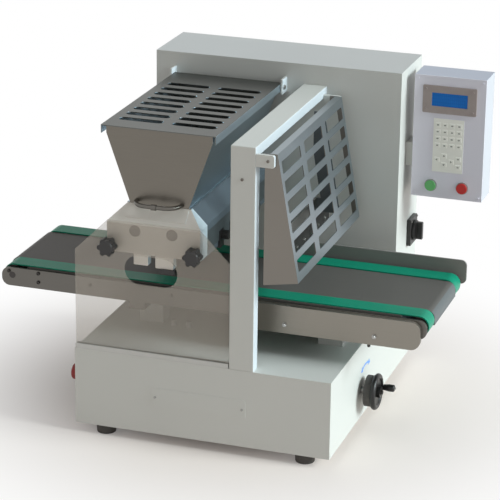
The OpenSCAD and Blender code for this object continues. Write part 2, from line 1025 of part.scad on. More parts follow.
module roller_gear(x) {
    color("darkgrey")
        difference() {
            translate([x, 0, roller_z])
                along_y(gear_y, gear_y + gear_w)
                    polygon(gear_points(gear_module, gear_teeth, 0));
            bar_y(shaft_r + run_fit, gear_y - over, gear_y + gear_w + over, x, roller_z);
        }
}

module roller_gear_left() {
    roller_gear(roller_x[0]);
}

module roller_gear_right() {
    roller_gear(roller_x[1]);
}

module nozzle_plate() {
    first_y = block_back + nozzle_inset;
    pitch = (nozzle_plate_back - block_back - 2 * nozzle_inset) / (nozzle_count - 1);
    color("lightgrey")
        difference() {
            block([body_left, block_back, nozzle_plate_bottom], [body_right, nozzle_plate_back, head_bottom]);
            for (i = [0 : nozzle_count - 1])
                bar_z(nozzle_neck_r + run_fit, nozzle_plate_bottom - over, head_bottom + over,
                    head_x, first_y + i * pitch);
        }
}

module nozzles() {
    first_y = block_back + nozzle_inset;
    pitch = (nozzle_plate_back - block_back - 2 * nozzle_inset) / (nozzle_count - 1);
    tip_z = nozzle_plate_bottom - nozzle_l;
    color("gold")
        for (i = [0 : nozzle_count - 1])
            difference() {
                union() {
                    translate([head_x, first_y + i * pitch, tip_z])
                        cylinder(r1 = nozzle_tip_r, r2 = nozzle_r, h = nozzle_l);
                    bar_z(nozzle_neck_r, nozzle_plate_bottom, nozzle_plate_bottom + nozzle_neck_l,
                        head_x, first_y + i * pitch);
                }
                bar_z(nozzle_bore_r, tip_z - over, nozzle_plate_bottom + nozzle_neck_l + over,
                    head_x, first_y + i * pitch);
            }
}

// Hooks that hold the nozzle plate to the head body, each with a small knob
module plate_clamps() {
    hook = [
        [0, nozzle_plate_bottom - clamp_lip],
        [clamp_t, nozzle_plate_bottom - clamp_lip],
        [clamp_t, head_bottom + clamp_rise],
        [0, head_bottom + clamp_rise],
        [0, nozzle_plate_bottom],
        [-clamp_hook, nozzle_plate_bottom],
        [-clamp_hook, nozzle_plate_bottom - clamp_lip]
    ];
    color("#181818")
        for (side = [0, 1])
            translate([head_x, 0, 0])
                mirror([side, 0, 0])
                    translate([body_w / 2, block_back + clamp_first, 0])
                        for (i = [0 : clamp_count - 1])
                            translate([0, i * clamp_pitch, 0]) {
                                along_y(-clamp_w / 2, clamp_w / 2)
                                    polygon(hook);
                                bar_x(clamp_knob_r, clamp_t, clamp_t + clamp_knob_l, 0, head_bottom + clamp_rise / 2);
                            }
}

module drive_motor() {
    x = roller_x[0];
    flange_back = motor_flange_y + motor_flange_t;
    color("slategrey")
        difference() {
            union() {
                block([x - motor_lug_x - motor_margin, motor_flange_y, pinion_z - motor_lug_down - motor_margin],
                    [x + motor_lug_x + motor_margin, flange_back, pinion_z + motor_r]);
                bar_y(motor_r, flange_back, flange_back + motor_l - motor_margin, x, pinion_z);
                bar_y(motor_cap_r, flange_back, flange_back + motor_l, x, pinion_z);
                for (dx = [-motor_lug_x, motor_lug_x])
                    for (dz = [-motor_lug_down, motor_lug_up])
                        bar_y(motor_lug_r, housing_y + sheet_t, motor_flange_y, x + dx, pinion_z + dz);
            }
            bar_y(pinion_shaft_r + run_fit, motor_flange_y - over, motor_flange_y + pinion_tail + over, x, pinion_z);
        }
}

// Below the left gear, turned so that a gap meets its tooth
module drive_pinion() {
    x = roller_x[0];
    meet = 270 * gear_teeth / 360;
    phase = meet - floor(meet);
    turn = 90 - (1 / 2 - phase) * 360 / pinion_teeth;
    color("darkgrey") {
        translate([x, 0, pinion_z])
            along_y(gear_y, gear_y + gear_w)
                polygon(gear_points(gear_module, pinion_teeth, turn));
        bar_y(pinion_shaft_r, gear_y + gear_w, motor_flange_y + pinion_tail, x, pinion_z);
    }
}

// Hopper outline seen from the front, moved in by a wall and drawn out past its ends
module hopper_outline(inset, past) {
    rim_z = hopper_top - hopper_rim_h;
    spread = (hopper_top_w - hopper_foot_w) / 2 / (hopper_h - hopper_rim_h);
    polygon([
        [-hopper_foot_w / 2 + inset + past * spread, head_top - past],
        [hopper_foot_w / 2 - inset - past * spread, head_top - past],
        [hopper_top_w / 2 - inset, rim_z],
        [hopper_top_w / 2 - inset, hopper_top + past],
        [-hopper_top_w / 2 + inset, hopper_top + past],
        [-hopper_top_w / 2 + inset, rim_z]
    ]);
}

module hopper() {
    color("darkgrey")
        translate([head_x, 0, 0])
            difference() {
                union() {
                    along_y(hopper_front, hopper_back)
                        hopper_outline(0, 0);
                    block([-hopper_foot_w / 2 - hopper_lip_w, hopper_front, head_top],
                        [hopper_foot_w / 2 + hopper_lip_w, hopper_back, head_top + hopper_t]);
                }
                along_y(hopper_front + hopper_t, hopper_back - hopper_t)
                    hopper_outline(hopper_t, over);
            }
}

// A round bow in front of the hopper's foot, with a clip at its middle
module hopper_handle() {
    bow_x = handle_w / 2 - handle_r - handle_reach;
    bar_at = hopper_front - handle_reach;
    color("dimgrey")
        translate([head_x, 0, handle_z]) {
            for (side = [0, 1])
                mirror([side, 0, 0])
                    translate([bow_x, hopper_front, 0])
                        rotate([0, 0, 270])
                            rotate_extrude(angle = 90)
                                translate([handle_reach, 0])
                                    circle(handle_r);
            bar_x(handle_r, -bow_x, bow_x, bar_at, 0);
            bar_x(handle_r + handle_clip_t, -handle_clip_w / 2, handle_clip_w / 2, bar_at, 0);
        }
}

module lid_brackets() {
    inner = lid_half + lid_gap;
    color("gainsboro")
        for (side = [0, 1])
            translate([head_x, 0, 0])
                mirror([side, 0, 0]) {
                    block([inner, lid_axis_y - bracket_front, lid_axis_z - bracket_below],
                        [inner + bracket_t, housing_y, lid_axis_z + bracket_above]);
                    bar_x(lid_pin_r, inner - lid_gap - lid_t - lid_pin_end, inner, lid_axis_y, lid_axis_z);
                }
}

module hopper_lid() {
    lid_top = lid_bottom + lid_t;
    skirt_z = lid_top - lid_skirt_h;
    color("dimgrey")
        difference() {
            translate([head_x, 0, 0]) {
                block([-lid_half, lid_front, lid_bottom], [lid_half, lid_back, lid_top]);
                block([-lid_half, lid_front, skirt_z], [-lid_half + lid_t, lid_back, lid_top]);
                block([lid_half - lid_t, lid_front, skirt_z], [lid_half, lid_back, lid_top]);
            }
            bar_x(lid_pin_r + run_fit, head_x - lid_half - over, head_x + lid_half + over, lid_axis_y, lid_axis_z);
            for (x = [head_x - lid_slot_x, head_x + lid_slot_x])
                for (i = [0 : lid_rows - 1])
                    translate([
                        x,
                        lid_front + lid_slot_in + lid_slot_d / 2 + i * lid_slot_pitch,
                        lid_bottom - lid_t
                    ])
                        linear_extrude(3 * lid_t)
                            round_rect(lid_slot_w, lid_slot_d, lid_slot_d / 2 - run_fit);
        }
}

module control_box() {
    color("silver")
        difference() {
            block([box_left, box_front + panel_t, box_bottom], [box_right, box_back, box_top]);
            block([box_left + box_wall, box_front + panel_t - over, box_bottom + box_wall],
                [box_right - box_wall, box_back - box_wall, box_top - box_wall]);
        }
}

module control_panel() {
    color("gainsboro")
        difference() {
            block([box_left, box_front, box_bottom], [box_right, box_front + panel_t, box_top]);
            for (side = [-1, 1])
                bar_y(button_stem_r + seat_gap, box_front - over, box_front + panel_t + over,
                    box_x + side * button_spread, button_z);
        }
}

module display_bezel() {
    color("dimgrey")
        translate([box_x, 0, box_top - bezel_drop])
            difference() {
                along_y(box_front - bezel_t, box_front)
                    round_rect(bezel_w, bezel_h, bezel_r);
                along_y(box_front - bezel_t - over, box_front + over)
                    square([screen_w, screen_h], center = true);
            }
}

module display_screen() {
    color("steelblue")
        translate([box_x, 0, box_top - bezel_drop])
            along_y(box_front - screen_t, box_front)
                square([screen_w - 2 * slide_fit, screen_h - 2 * slide_fit], center = true);
}

module keypad() {
    grid = [for (col = [0 : key_cols - 1])
        for (row = [0 : key_rows - 1]) [col, row]];
    pad_top = box_top - keypad_drop + keypad_h / 2;
    face = box_front - keypad_t;
    color("beige") {
        block([box_x - keypad_w / 2, face, pad_top - keypad_h], [box_x + keypad_w / 2, box_front, pad_top]);
        for (p = concat(grid, arrow_shares))
            translate([
                box_x + (p[0] - (key_cols - 1) / 2) * key_pitch_x,
                0,
                pad_top - key_margin - p[1] * key_pitch_z
            ])
                block([-key_w / 2, face - key_t, -key_h / 2], [key_w / 2, face, key_h / 2]);
    }
}

// A push button: cap in its collar, stem through the panel
module push_button(side, tint) {
    x = box_x + side * button_spread;
    cap_back = box_front - button_travel - seat_gap;
    color(tint) {
        bar_y(button_r, cap_back - button_cap, cap_back, x, button_z);
        bar_y(button_stem_r, cap_back, box_front + panel_t + button_stem_l, x, button_z);
    }
}

module start_button() {
    push_button(-1, "seagreen");
}

module stop_button() {
    push_button(1, "firebrick");
}

module button_collars() {
    color("silver")
        for (side = [-1, 1])
            difference() {
                bar_y(collar_r, box_front - collar_h, box_front, box_x + side * button_spread, button_z);
                bar_y(button_r + seat_gap, box_front - collar_h - over, box_front + over,
                    box_x + side * button_spread, button_z);
            }
}

module control_bracket() {
    y = (box_front + box_back) / 2;
    z = box_bottom + bracket_rise;
    color("gainsboro")
        difference() {
            block([right_x, y - bracket_w / 2, z], [box_left, y + bracket_w / 2, z + bracket_h]);
            block([right_x - over, y - bracket_w / 2 + bracket_wall, z + bracket_wall],
                [box_left + over, y + bracket_w / 2 - bracket_wall, z + bracket_h - bracket_wall]);
        }
}

module switch_body() {
    color("#303030")
        difference() {
            translate([0, switch_y, switch_z])
                along_x(right_x, right_x + switch_t)
                    round_rect(switch_w, switch_h, switch_corner);
            bar_x(switch_stem_r + run_fit, right_x + switch_t - switch_stem_l - over, right_x + switch_t + over,
                switch_y, switch_z);
        }
}

module switch_knob() {
    disc_x = right_x + switch_t + seat_gap;
    grip_x = disc_x + switch_disc_t;
    color("#181818") {
        bar_x(switch_stem_r, right_x + switch_t - switch_stem_l, disc_x, switch_y, switch_z);
        bar_x(switch_disc_r, disc_x, grip_x, switch_y, switch_z);
        translate([0, switch_y, switch_z])
            along_x(grip_x, grip_x + switch_grip_t)
                round_rect(switch_grip_w, switch_grip_h, switch_corner);
    }
}

module estop_body() {
    color("#303030")
        difference() {
            union() {
                bar_x(stop_collar_r, left_x - stop_collar_h, left_x, stop_y, stop_z);
                bar_x(stop_neck_r, left_x, left_x + sheet_t, stop_y, stop_z);
                bar_x(stop_box_r, left_x + sheet_t, left_x + sheet_t + stop_box_l, stop_y, stop_z);
            }
            bar_x(stop_stem_r + seat_gap, left_x - stop_collar_h - over, left_x + sheet_t + stop_box_l + over,
                stop_y, stop_z);
        }
}

// A mushroom head on its stem
module estop_button() {
    cap_back = left_x - stop_collar_h - stop_travel - seat_gap;
    color("firebrick")
        translate([cap_back, stop_y, stop_z])
            rotate([0, -90, 0])
                rotate_extrude() {
                    square([stop_r, stop_cap_l - stop_bead]);
                    square([stop_r - stop_bead, stop_cap_l]);
                    translate([stop_r - stop_bead, stop_cap_l - stop_bead])
                        circle(stop_bead);
                }
    color("firebrick")
        bar_x(stop_stem_r, cap_back, left_x + sheet_t + stop_box_l / 2, stop_y, stop_z);
}

// Rim, web and hub in one casting, with the crank pin
module handwheel() {
    hub_x = wheel_x - hub_l / 2;
    color("#202020")
        difference() {
            union() {
                translate([wheel_x, lift_y, lift_z])
                    rotate([0, 90, 0])
                        rotate_extrude()
                            translate([wheel_r - wheel_rim_r, 0])
                                circle(wheel_rim_r);
                bar_x(wheel_r - wheel_rim_r, wheel_x - wheel_web_t / 2, wheel_x + wheel_web_t / 2, lift_y, lift_z);
                bar_x(hub_r, hub_x, hub_x + hub_l, lift_y, lift_z);
                bar_x(crank_pin_r, wheel_x, wheel_x + wheel_rim_r + grip_l - grip_wall, crank_y, lift_z);
            }
            bar_x(lift_shaft_r + run_fit, hub_x - over, hub_x + hub_l - grip_wall, lift_y, lift_z);
        }
}

// A revolving grip with a blind bore, slimmer at the wheel
module crank_handle() {
    grip_x = wheel_x + wheel_rim_r + grip_gap;
    color("#181818")
        difference() {
            translate([grip_x, crank_y, lift_z])
                rotate([0, 90, 0])
                    rotate_extrude() {
                        polygon([[0, 0], [grip_neck_r, 0], [grip_r, grip_l / 2], [grip_r, grip_l - grip_bead],
                            [grip_r - grip_bead, grip_l - grip_bead], [grip_r - grip_bead, grip_l], [0, grip_l]]);
                        translate([grip_r - grip_bead, grip_l - grip_bead])
                            circle(grip_bead);
                    }
            bar_x(crank_pin_r + run_fit, grip_x - over, grip_x + grip_l - grip_wall, crank_y, lift_z);
        }
}

module lift_shaft() {
    color("silver") {
        bar_x(lift_shaft_r, rack_x[0] - rack_w / 2 - lift_shaft_tail, wheel_x + hub_l / 2 - grip_wall, lift_y, lift_z);
        for (x = rack_x)
            translate([0, lift_y, lift_z])
                along_x(x - rack_w / 2, x + rack_w / 2)
                    polygon(gear_points(lift_module, lift_teeth, 0));
    }
}

// Bearing blocks on the bottom plate, one right of each pinion
module shaft_blocks() {
    color("grey")
        for (x = rack_x)
            translate([x + rack_w / 2 + pedestal_gap, 0, 0])
                difference() {
                    block([0, lift_y - pedestal_w / 2, floor_top],
                        [pedestal_t, lift_y + pedestal_w / 2, lift_z + pedestal_over]);
                    bar_x(lift_shaft_r + run_fit, -over, pedestal_t + over, lift_y, lift_z);
                }
}

module guide_blocks() {
    rack_mid_y = (rack_back_y + rack_face_y) / 2;
    color("silver")
        for (x = rack_x) {
            difference() {
                block([x - guide_w / 2, rack_mid_y - guide_d / 2, base_top],
                    [x + guide_w / 2, rack_mid_y + guide_d / 2, base_top + guide_h]);
                block([x - rack_w / 2 - slide_fit, rack_back_y - slide_fit, base_top - over],
                    [x + rack_w / 2 + slide_fit, rack_face_y + slide_fit, base_top + guide_h + over]);
            }
            difference() {
                block([x - guide_w / 2, rod_y - guide_d / 2, base_top],
                    [x + guide_w / 2, rod_y + guide_d / 2, base_top + guide_h]);
                bar_z(rod_r + run_fit, base_top - over, base_top + guide_h + over, x, rod_y);
            }
        }
}

// Toothed bars: a gap between two teeth meets the pinion's tooth at rest
module lift_racks() {
    teeth_top = lift_z + rack_teeth_up * rack_pitch;
    root_y = rack_face_y - rack_root;
    tip = lift_module * addendum_share;
    root_half = tooth_half(lift_module, -rack_root);
    tip_half = tooth_half(lift_module, tip);
    bar_outline = [
        [rack_back_y, rack_bottom],
        [root_y, rack_bottom],
        [root_y, teeth_top],
        [rack_face_y, teeth_top + rack_root],
        [rack_face_y, cross_bottom],
        [rack_back_y, cross_bottom]
    ];
    color("silver")
        for (x = rack_x)
            along_x(x - rack_w / 2, x + rack_w / 2) {
                polygon(bar_outline);
                for (i = [-rack_teeth_down : rack_teeth_up - 1])
                    translate([0, lift_z + (i + 1 / 2) * rack_pitch])
                        polygon([[root_y, -root_half], [rack_face_y + tip, -tip_half],
                            [rack_face_y + tip, tip_half], [root_y, root_half]]);
            }
}

// Cross bars under the side plates, with risers to the bed and guide rods below
module cross_members() {
    color("grey")
        for (x = rack_x) {
            block([x - cross_w / 2, conveyor_y - plate_outer, cross_bottom],
                [x + cross_w / 2, conveyor_y + plate_outer, plate_bottom]);
            difference() {
                block([x - riser_w / 2, conveyor_y - riser_half, plate_bottom],
                    [x + riser_w / 2, conveyor_y + riser_half, bed_under]);
                block([x - riser_w / 2 - over, conveyor_y - riser_half + riser_wall, plate_bottom - over],
                    [x + riser_w / 2 + over, conveyor_y + riser_half - riser_wall, bed_under - riser_wall]);
            }
            bar_z(rod_r, cross_bottom - rod_below, cross_bottom, x, rod_y);
        }
}

module conveyor_plates() {
    mid_x = (plate_x0 + plate_x1) / 2;
    color("grey")
        for (side = [-1, 1])
            let (y = conveyor_y + side * (plate_inner + plate_t / 2))
                difference() {
                    translate([mid_x, 0, plate_bottom + plate_h / 2])
                        along_y(y - plate_t / 2, y + plate_t / 2)
                            round_rect(plate_x1 - plate_x0, plate_h, plate_r);
                    for (x = shaft_x)
                        bar_y(conveyor_shaft_r + run_fit, y - plate_t / 2 - over, y + plate_t / 2 + over,
                            x, belt_axis_z);
                }
}

// A ring sector that bends a bed end down
module bed_nose() {
    difference() {
        union() {
            intersection() {
                circle(bed_nose_r);
                square(bed_nose_r);
            }
            translate([0, -bed_nose_drop])
                square([bed_nose_r, bed_nose_drop]);
        }
        circle(bed_nose_r - bed_t);
        translate([-over, -bed_nose_drop - over])
            square([bed_nose_r - bed_t + over, bed_nose_drop + over]);
    }
}

// Bent down at its ends; between the shafts it reaches under both belts to the side plates
module bed_plate() {
    color("dimgrey") {
        along_y(conveyor_y - bed_half, conveyor_y + bed_half) {
            translate([bed_x0, bed_under])
                square([bed_x1 - bed_x0, bed_t]);
            translate([bed_x1, bed_top - bed_nose_r])
                bed_nose();
            translate([bed_x0, bed_top - bed_nose_r])
                mirror([1, 0])
                    bed_nose();
        }
        block([shaft_x[0] + slide_in, conveyor_y - plate_inner, bed_under],
            [shaft_x[1] - slide_in, conveyor_y + plate_inner, bed_top]);
        for (y = [conveyor_y - plate_inner, conveyor_y + plate_inner - bed_t])
            block([shaft_x[0] + slide_in, y, bed_under - slide_lip],
                [shaft_x[1] - slide_in, y + bed_t, bed_under]);
    }
}

// A loop about the two shafts
module loop_outline(r) {
    for (x = shaft_x)
        translate([x, belt_axis_z])
            circle(r);
    translate([shaft_x[0], belt_axis_z - r])
        square([shaft_span, 2 * r]);
}

module belts() {
    color("seagreen")
        for (side = [-1, 1])
            let (y = conveyor_y + side * belt_half)
                along_y(y - belt_w / 2, y + belt_w / 2)
                    difference() {
                        loop_outline(belt_r);
                        loop_outline(belt_r - belt_t);
                    }
}

// Cover outline: two large round corners at the outfeed end
module cover_outline(inset) {
    translate([front_cover_x0 + inset, front_cover_bottom + inset])
        square([cover_l - front_cover_r - inset, front_cover_h - 2 * inset]);
    translate([front_cover_x0 + inset, front_cover_bottom + front_cover_r])
        square([cover_l - 2 * inset, front_cover_h - 2 * front_cover_r]);
    for (z = [front_cover_bottom + front_cover_r, front_cover_top - front_cover_r])
        translate([front_cover_x1 - front_cover_r, z])
            circle(front_cover_r - inset);
}

module front_cover() {
    face_y = conveyor_y - plate_outer - front_cover_d;
    color("darkgrey")
        difference() {
            along_y(face_y, conveyor_y - plate_outer)
                cover_outline(0);
            along_y(face_y + front_cover_t, conveyor_y - plate_outer + over)
                cover_outline(front_cover_t);
        }
}

module rear_fence() {
    y = conveyor_y + plate_outer;
    color("darkgrey")
        translate([(fence_x0 + fence_x1) / 2, 0, fence_bottom + fence_h / 2])
            along_y(y, y + fence_t)
                round_rect(fence_l, fence_h, fence_r);
}

// A shaft with a pulley under each belt
module belt_shaft(x) {
    color("silver") {
        bar_y(conveyor_shaft_r, conveyor_y - plate_outer, conveyor_y + plate_outer, x, belt_axis_z);
        for (side = [-1, 1])
            let (y = conveyor_y + side * belt_half)
                bar_y(pulley_r, y - belt_w / 2 + pulley_inset, y + belt_w / 2 - pulley_inset, x, belt_axis_z);
    }
}

module drive_shaft() {
    belt_shaft(shaft_x[1]);
}

module idler_shaft() {
    belt_shaft(shaft_x[0]);
}

// Gearbox on the drive shaft, seated under the bed, with its motor along the conveyor
module conveyor_motor() {
    x = shaft_x[1];
    motor_x = x - gearbox_l;
    color("slategrey")
        difference() {
            union() {
                block([motor_x, gearbox_y - gearbox_w / 2, bed_under - gearbox_drop],
                    [x, gearbox_y + gearbox_w / 2, bed_under]);
                bar_y(gearbox_r, gearbox_y - gearbox_w / 2, gearbox_y + gearbox_w / 2, x, belt_axis_z);
                bar_x(belt_motor_r, motor_x - belt_motor_l, motor_x, gearbox_y, bed_under - belt_motor_drop);
            }
            bar_y(conveyor_shaft_r + run_fit, gearbox_y - gearbox_w / 2 - over, gearbox_y + gearbox_w / 2 + over,
                x, belt_axis_z);
        }
}

base_shell();
base_bottom();
feet();
foot_studs();
rear_housing();
rear_cover();
cover_screws();
cable_gland();
bridge_frame();
guard_ears();
outfeed_guard();
guard_channel();
clear_guard();
guard_knob_left();
guard_knob_right();
head_body();
head_front_block();
bearing_caps();
roller_bearings();
feed_roller_left();
feed_roller_right();
roller_gear_left();
roller_gear_right();
nozzle_plate();
nozzles();
plate_clamps();
drive_motor();
drive_pinion();
hopper();
hopper_handle();
lid_brackets();
hopper_lid();
control_box();
control_panel();
display_bezel();
display_screen();
keypad();
start_button();
stop_button();
button_collars();
control_bracket();
switch_body();
switch_knob();
estop_body();
estop_button();
handwheel();
crank_handle();
lift_shaft();
shaft_blocks();
guide_blocks();
lift_racks();
cross_members();
conveyor_plates();
bed_plate();
belts();
front_cover();
rear_fence();
drive_shaft();
idler_shaft();
conveyor_motor();
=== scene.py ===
"""Looks of a tabletop cookie depositor: finishes, fasteners, small trim, camera and studio."""
import json
import math

import bmesh
import bpy
from mathutils import Matrix, Vector

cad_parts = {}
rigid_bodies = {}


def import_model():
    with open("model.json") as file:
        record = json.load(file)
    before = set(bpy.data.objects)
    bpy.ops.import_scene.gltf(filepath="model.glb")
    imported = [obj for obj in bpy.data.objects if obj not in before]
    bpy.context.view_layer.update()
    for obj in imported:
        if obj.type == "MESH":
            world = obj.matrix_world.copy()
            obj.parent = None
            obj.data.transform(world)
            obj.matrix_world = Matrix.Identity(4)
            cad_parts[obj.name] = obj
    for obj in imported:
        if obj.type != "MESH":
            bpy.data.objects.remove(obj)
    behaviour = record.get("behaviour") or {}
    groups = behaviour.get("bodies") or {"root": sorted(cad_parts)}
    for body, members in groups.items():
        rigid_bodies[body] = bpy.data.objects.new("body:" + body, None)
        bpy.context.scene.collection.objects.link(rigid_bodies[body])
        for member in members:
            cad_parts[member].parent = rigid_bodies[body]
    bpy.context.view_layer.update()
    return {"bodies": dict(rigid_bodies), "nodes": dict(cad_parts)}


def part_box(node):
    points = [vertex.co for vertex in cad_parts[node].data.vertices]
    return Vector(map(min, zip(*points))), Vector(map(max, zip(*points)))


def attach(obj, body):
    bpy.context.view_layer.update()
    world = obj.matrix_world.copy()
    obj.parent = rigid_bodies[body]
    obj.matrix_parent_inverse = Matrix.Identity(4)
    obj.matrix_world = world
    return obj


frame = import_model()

NODES = frame["nodes"]
KEPT = set(NODES.values()) | set(frame["bodies"].values())
for spare in [o for o in bpy.data.objects if o not in KEPT]:
    bpy.data.objects.remove(spare)

MM = 0.001
FRONT, BACK, RIGHT = Vector((0, -1, 0)), Vector((0, 1, 0)), Vector((1, 0, 0))
UP, DOWN = Vector((0, 0, 1)), Vector((0, 0, -1))
SIDES = (-1, 1)


# Node trees

class Port:
    """An output socket; sums and products on it add Math nodes."""

    def __init__(self, tree, socket):
        self.tree = tree
        self.socket = socket

    def other(self, name):
        return Port(self.tree, self.socket.node.outputs[name])

    def maths(self, operation, first, second=0.0):
        return self.tree.node("ShaderNodeMath", {"operation": operation}, {0: first, 1: second})

    def __add__(self, other):
        return self.maths("ADD", self, other)

    def __radd__(self, other):
        return self.maths("ADD", other, self)

    def __rsub__(self, other):
        return self.maths("SUBTRACT", other, self)

    def __mul__(self, other):
        return self.maths("MULTIPLY", self, other)

    def __gt__(self, other):
        return self.maths("GREATER_THAN", self, other)

    def sine(self):
        return self.maths("SINE", self)

    def wrapped(self, span):
        return self.maths("FLOORED_MODULO", self, span)


class Tree:
    """A node tree whose nodes all come from one method."""

    def __init__(self, tree):
        self.tree = tree
        tree.nodes.clear()

    def node(self, kind, settings=None, sockets=None, output=0):
        made = self.tree.nodes.new(kind)
        for name, value in (settings or {}).items():
            setattr(made, name, value)
        for key, value in (sockets or {}).items():
            for item in value if isinstance(value, list) else [value]:
                if isinstance(item, Port):
                    self.tree.links.new(item.socket, made.inputs[key])
                else:
                    made.inputs[key].default_value = item
        return Port(self, made.outputs[output]) if made.outputs else None


def srgb(red, green, blue):
    """A colour as read from a screen, 0 to 255, made linear."""
    def linear(c):
        c = c / 255
        return c / 12.92 if c <= 0.04045 else ((c + 0.055) / 1.055) ** 2.4
    return (linear(red), linear(green), linear(blue), 1.0)


def shade(colour, share):
    return tuple(min(1.0, c * share) for c in colour[:3]) + (1.0,)


class Finish(Tree):
    """A material that reads Object coordinates."""

    def __init__(self, name):
        self.material = bpy.data.materials.new(name)
        self.material.use_nodes = True
        super().__init__(self.material.node_tree)
        self.place = self.node("ShaderNodeTexCoord", output="Object")

    def axes(self):
        split = self.node("ShaderNodeSeparateXYZ", None, {0: self.place})
        return split, split.other("Y"), split.other("Z")

    def noise(self, scale, detail=2.0, stretch=None):
        place = self.place
        if stretch:
            place = self.node("ShaderNodeMapping", None, {"Vector": place, "Scale": stretch})
        return self.node("ShaderNodeTexNoise", None, {"Vector": place, "Scale": scale, "Detail": detail})

    def mix(self, factor, first, second):
        return self.node("ShaderNodeMix", {"data_type": "RGBA"}, {0: factor, 6: first, 7: second}, output=2)

    def between(self, tone, colour, dark_share, pale_share):
        """A colour that varies with the tone from a darker to a paler share of it."""
        return self.mix(tone, shade(colour, dark_share), shade(colour, pale_share))

    def looks_along(self, axis, least=0.6):
        """One on faces that look along an axis either way, nothing elsewhere."""
        normal = self.node("ShaderNodeTexCoord", output="Normal")
        part = self.node("ShaderNodeSeparateXYZ", None, {0: normal}, output=axis)
        return part.maths("ABSOLUTE", part) > least

    def mottled_with_painted_light(self, tone, colour, spread, side=None, axis="X"):
        """A colour that varies with the tone; where a second colour is given, the faces along an axis get it
        instead, as painted light and shade.
        """
        face = self.between(tone, colour, 1.0 - spread, 1.0 + spread)
        return self.mix(self.looks_along(axis), face, self.mottled_with_painted_light(tone, side, spread)) if side else face

    def bump(self, height, distance, strength):
        return self.node("ShaderNodeBump", None, {
            "Height": height, "Distance": distance, "Strength": strength})

    def surface(self, sockets):
        shader = self.node("ShaderNodeBsdfPrincipled", None, sockets)
        self.node("ShaderNodeOutputMaterial", None, {"Surface": shader})
        return self.material


# Finishes

def painted_sheet(name, colour, gloss, side=None, axis="Z"):
    """Powder coat: fine orange peel, faint clouding and specks; a side colour, where given, is painted light
    and shade on the faces along one axis.
    """
    f = Finish(name)
    cloud = f.noise(scale=2.4, detail=3.0)
    speck = f.noise(scale=520.0)
    peel = f.noise(scale=1500.0, detail=1.0)
    return f.surface({
        "Base Color": f.mottled_with_painted_light(cloud * 0.75 + speck * 0.25, colour, 0.06, side, axis),
        "Roughness": gloss - 0.06 + speck * 0.12,
        "Normal": f.bump(peel, distance=0.15 * MM, strength=0.3),
        "Specular IOR Level": 0.28,
    })


def brushed_steel(name, colour, stretch, roughness, side=None, axis="X", metal=1.0, mirror=0.2):
    """Ground sheet: long fine scratches one way, smears of a wiping cloth; a side colour, where given, is
    painted light and shade on the faces along one axis.
    """
    f = Finish(name)
    grain = f.noise(scale=1.0, detail=4.0, stretch=stretch)
    smear = f.noise(scale=7.0, detail=3.0)
    return f.surface({
        "Base Color": f.mottled_with_painted_light(grain * 0.6 + smear * 0.4, colour, 0.15, side, axis),
        "Metallic": metal,
        "Specular IOR Level": mirror,
        "Roughness": roughness - 0.09 + grain * 0.1 + smear * 0.08,
        "Normal": f.bump(grain, distance=0.06 * MM, strength=0.3),
    })


def blasted_aluminium(name, colour, metal, side=None):
    """Bead-blasted casting: matt, finely pitted, a little uneven; a side colour, where given, is a painted
    highlight on the faces along X.
    """
    f = Finish(name)
    pit = f.noise(scale=1900.0)
    cloud = f.noise(scale=9.0, detail=3.0)
    return f.surface({
        "Base Color": f.mottled_with_painted_light(cloud * 0.6 + pit * 0.4, colour, 0.08, side),
        "Metallic": metal,
        "Roughness": 0.42 + pit * 0.16,
        "Normal": f.bump(pit, distance=0.2 * MM, strength=0.35),
    })


def moulded_plastic(name, colour, roughness):
    """Moulded plastic with a spark-eroded grain and rubbed patches."""
    f = Finish(name)
    grain = f.noise(scale=2600.0)
    rub = f.noise(scale=38.0, detail=3.0)
    return f.surface({
        "Base Color": f.between(rub * 0.6 + grain * 0.4, colour, 0.8, 1.2),
        "Roughness": roughness - 0.07 + grain * 0.06 + rub * 0.1,
        "Normal": f.bump(grain, distance=0.1 * MM, strength=0.3),
    })


def foot_rubber(name, colour):
    """Matt rubber, dusty in patches."""
    f = Finish(name)
    dust = f.noise(scale=60.0, detail=4.0)
    pores = f.noise(scale=900.0, detail=3.0)
    return f.surface({
        "Base Color": f.between(dust, colour, 0.7, 1.5),
        "Roughness": 0.62 + dust * 0.2,
        "Normal": f.bump(pores, distance=0.4 * MM, strength=0.4),
    })


def milky_sheet(name, colour, cover):
    """Clear guard sheet: a smoky tinted film, a little uneven."""
    f = Finish(name)
    haze = f.noise(scale=3.0, detail=1.0)
    return f.surface({
        "Base Color": f.mottled_with_painted_light(haze, colour, 0.05),
        "Roughness": 0.1 + haze * 0.06,
        "Alpha": cover - 0.015 + haze * 0.03,
    })


def green_belt(name, colour):
    """Coated belt: a fine cross weave under a satin skin, worn paler in streaks along its run."""
    f = Finish(name)
    threads = 4200.0
    along, across, _ = f.axes()
    weave = (along * threads).sine() * (across * threads).sine()
    streak = f.noise(scale=1.0, detail=3.0, stretch=(3.0, 240.0, 3.0))
    return f.surface({
        "Base Color": f.between(streak, colour, 0.78, 1.25),
        "Roughness": 0.27 + streak * 0.12,
        "Specular IOR Level": 0.1,
        "Normal": f.bump(weave, distance=0.06 * MM, strength=0.35),
    })


def display_glass(name, lit, dim):
    """Back-lit character display: rows of empty cells with fine gaps."""
    f = Finish(name)
    cell_width, cell_height = 5.2 * MM, 8.6 * MM
    gap_across, gap_up = 0.6 * MM, 0.9 * MM
    along, _, up = f.axes()
    cell = (along.wrapped(cell_width) > gap_across) * (up.wrapped(cell_height) > gap_up)
    glow = f.noise(scale=26.0)
    colour = f.mix(cell * 0.5 + glow * 0.5, dim, lit)
    return f.surface({
        "Base Color": colour,
        "Emission Color": colour,
        "Emission Strength": 0.4,
        "Specular IOR Level": 0.15,
        "Roughness": 0.12 + glow * 0.06,
    })


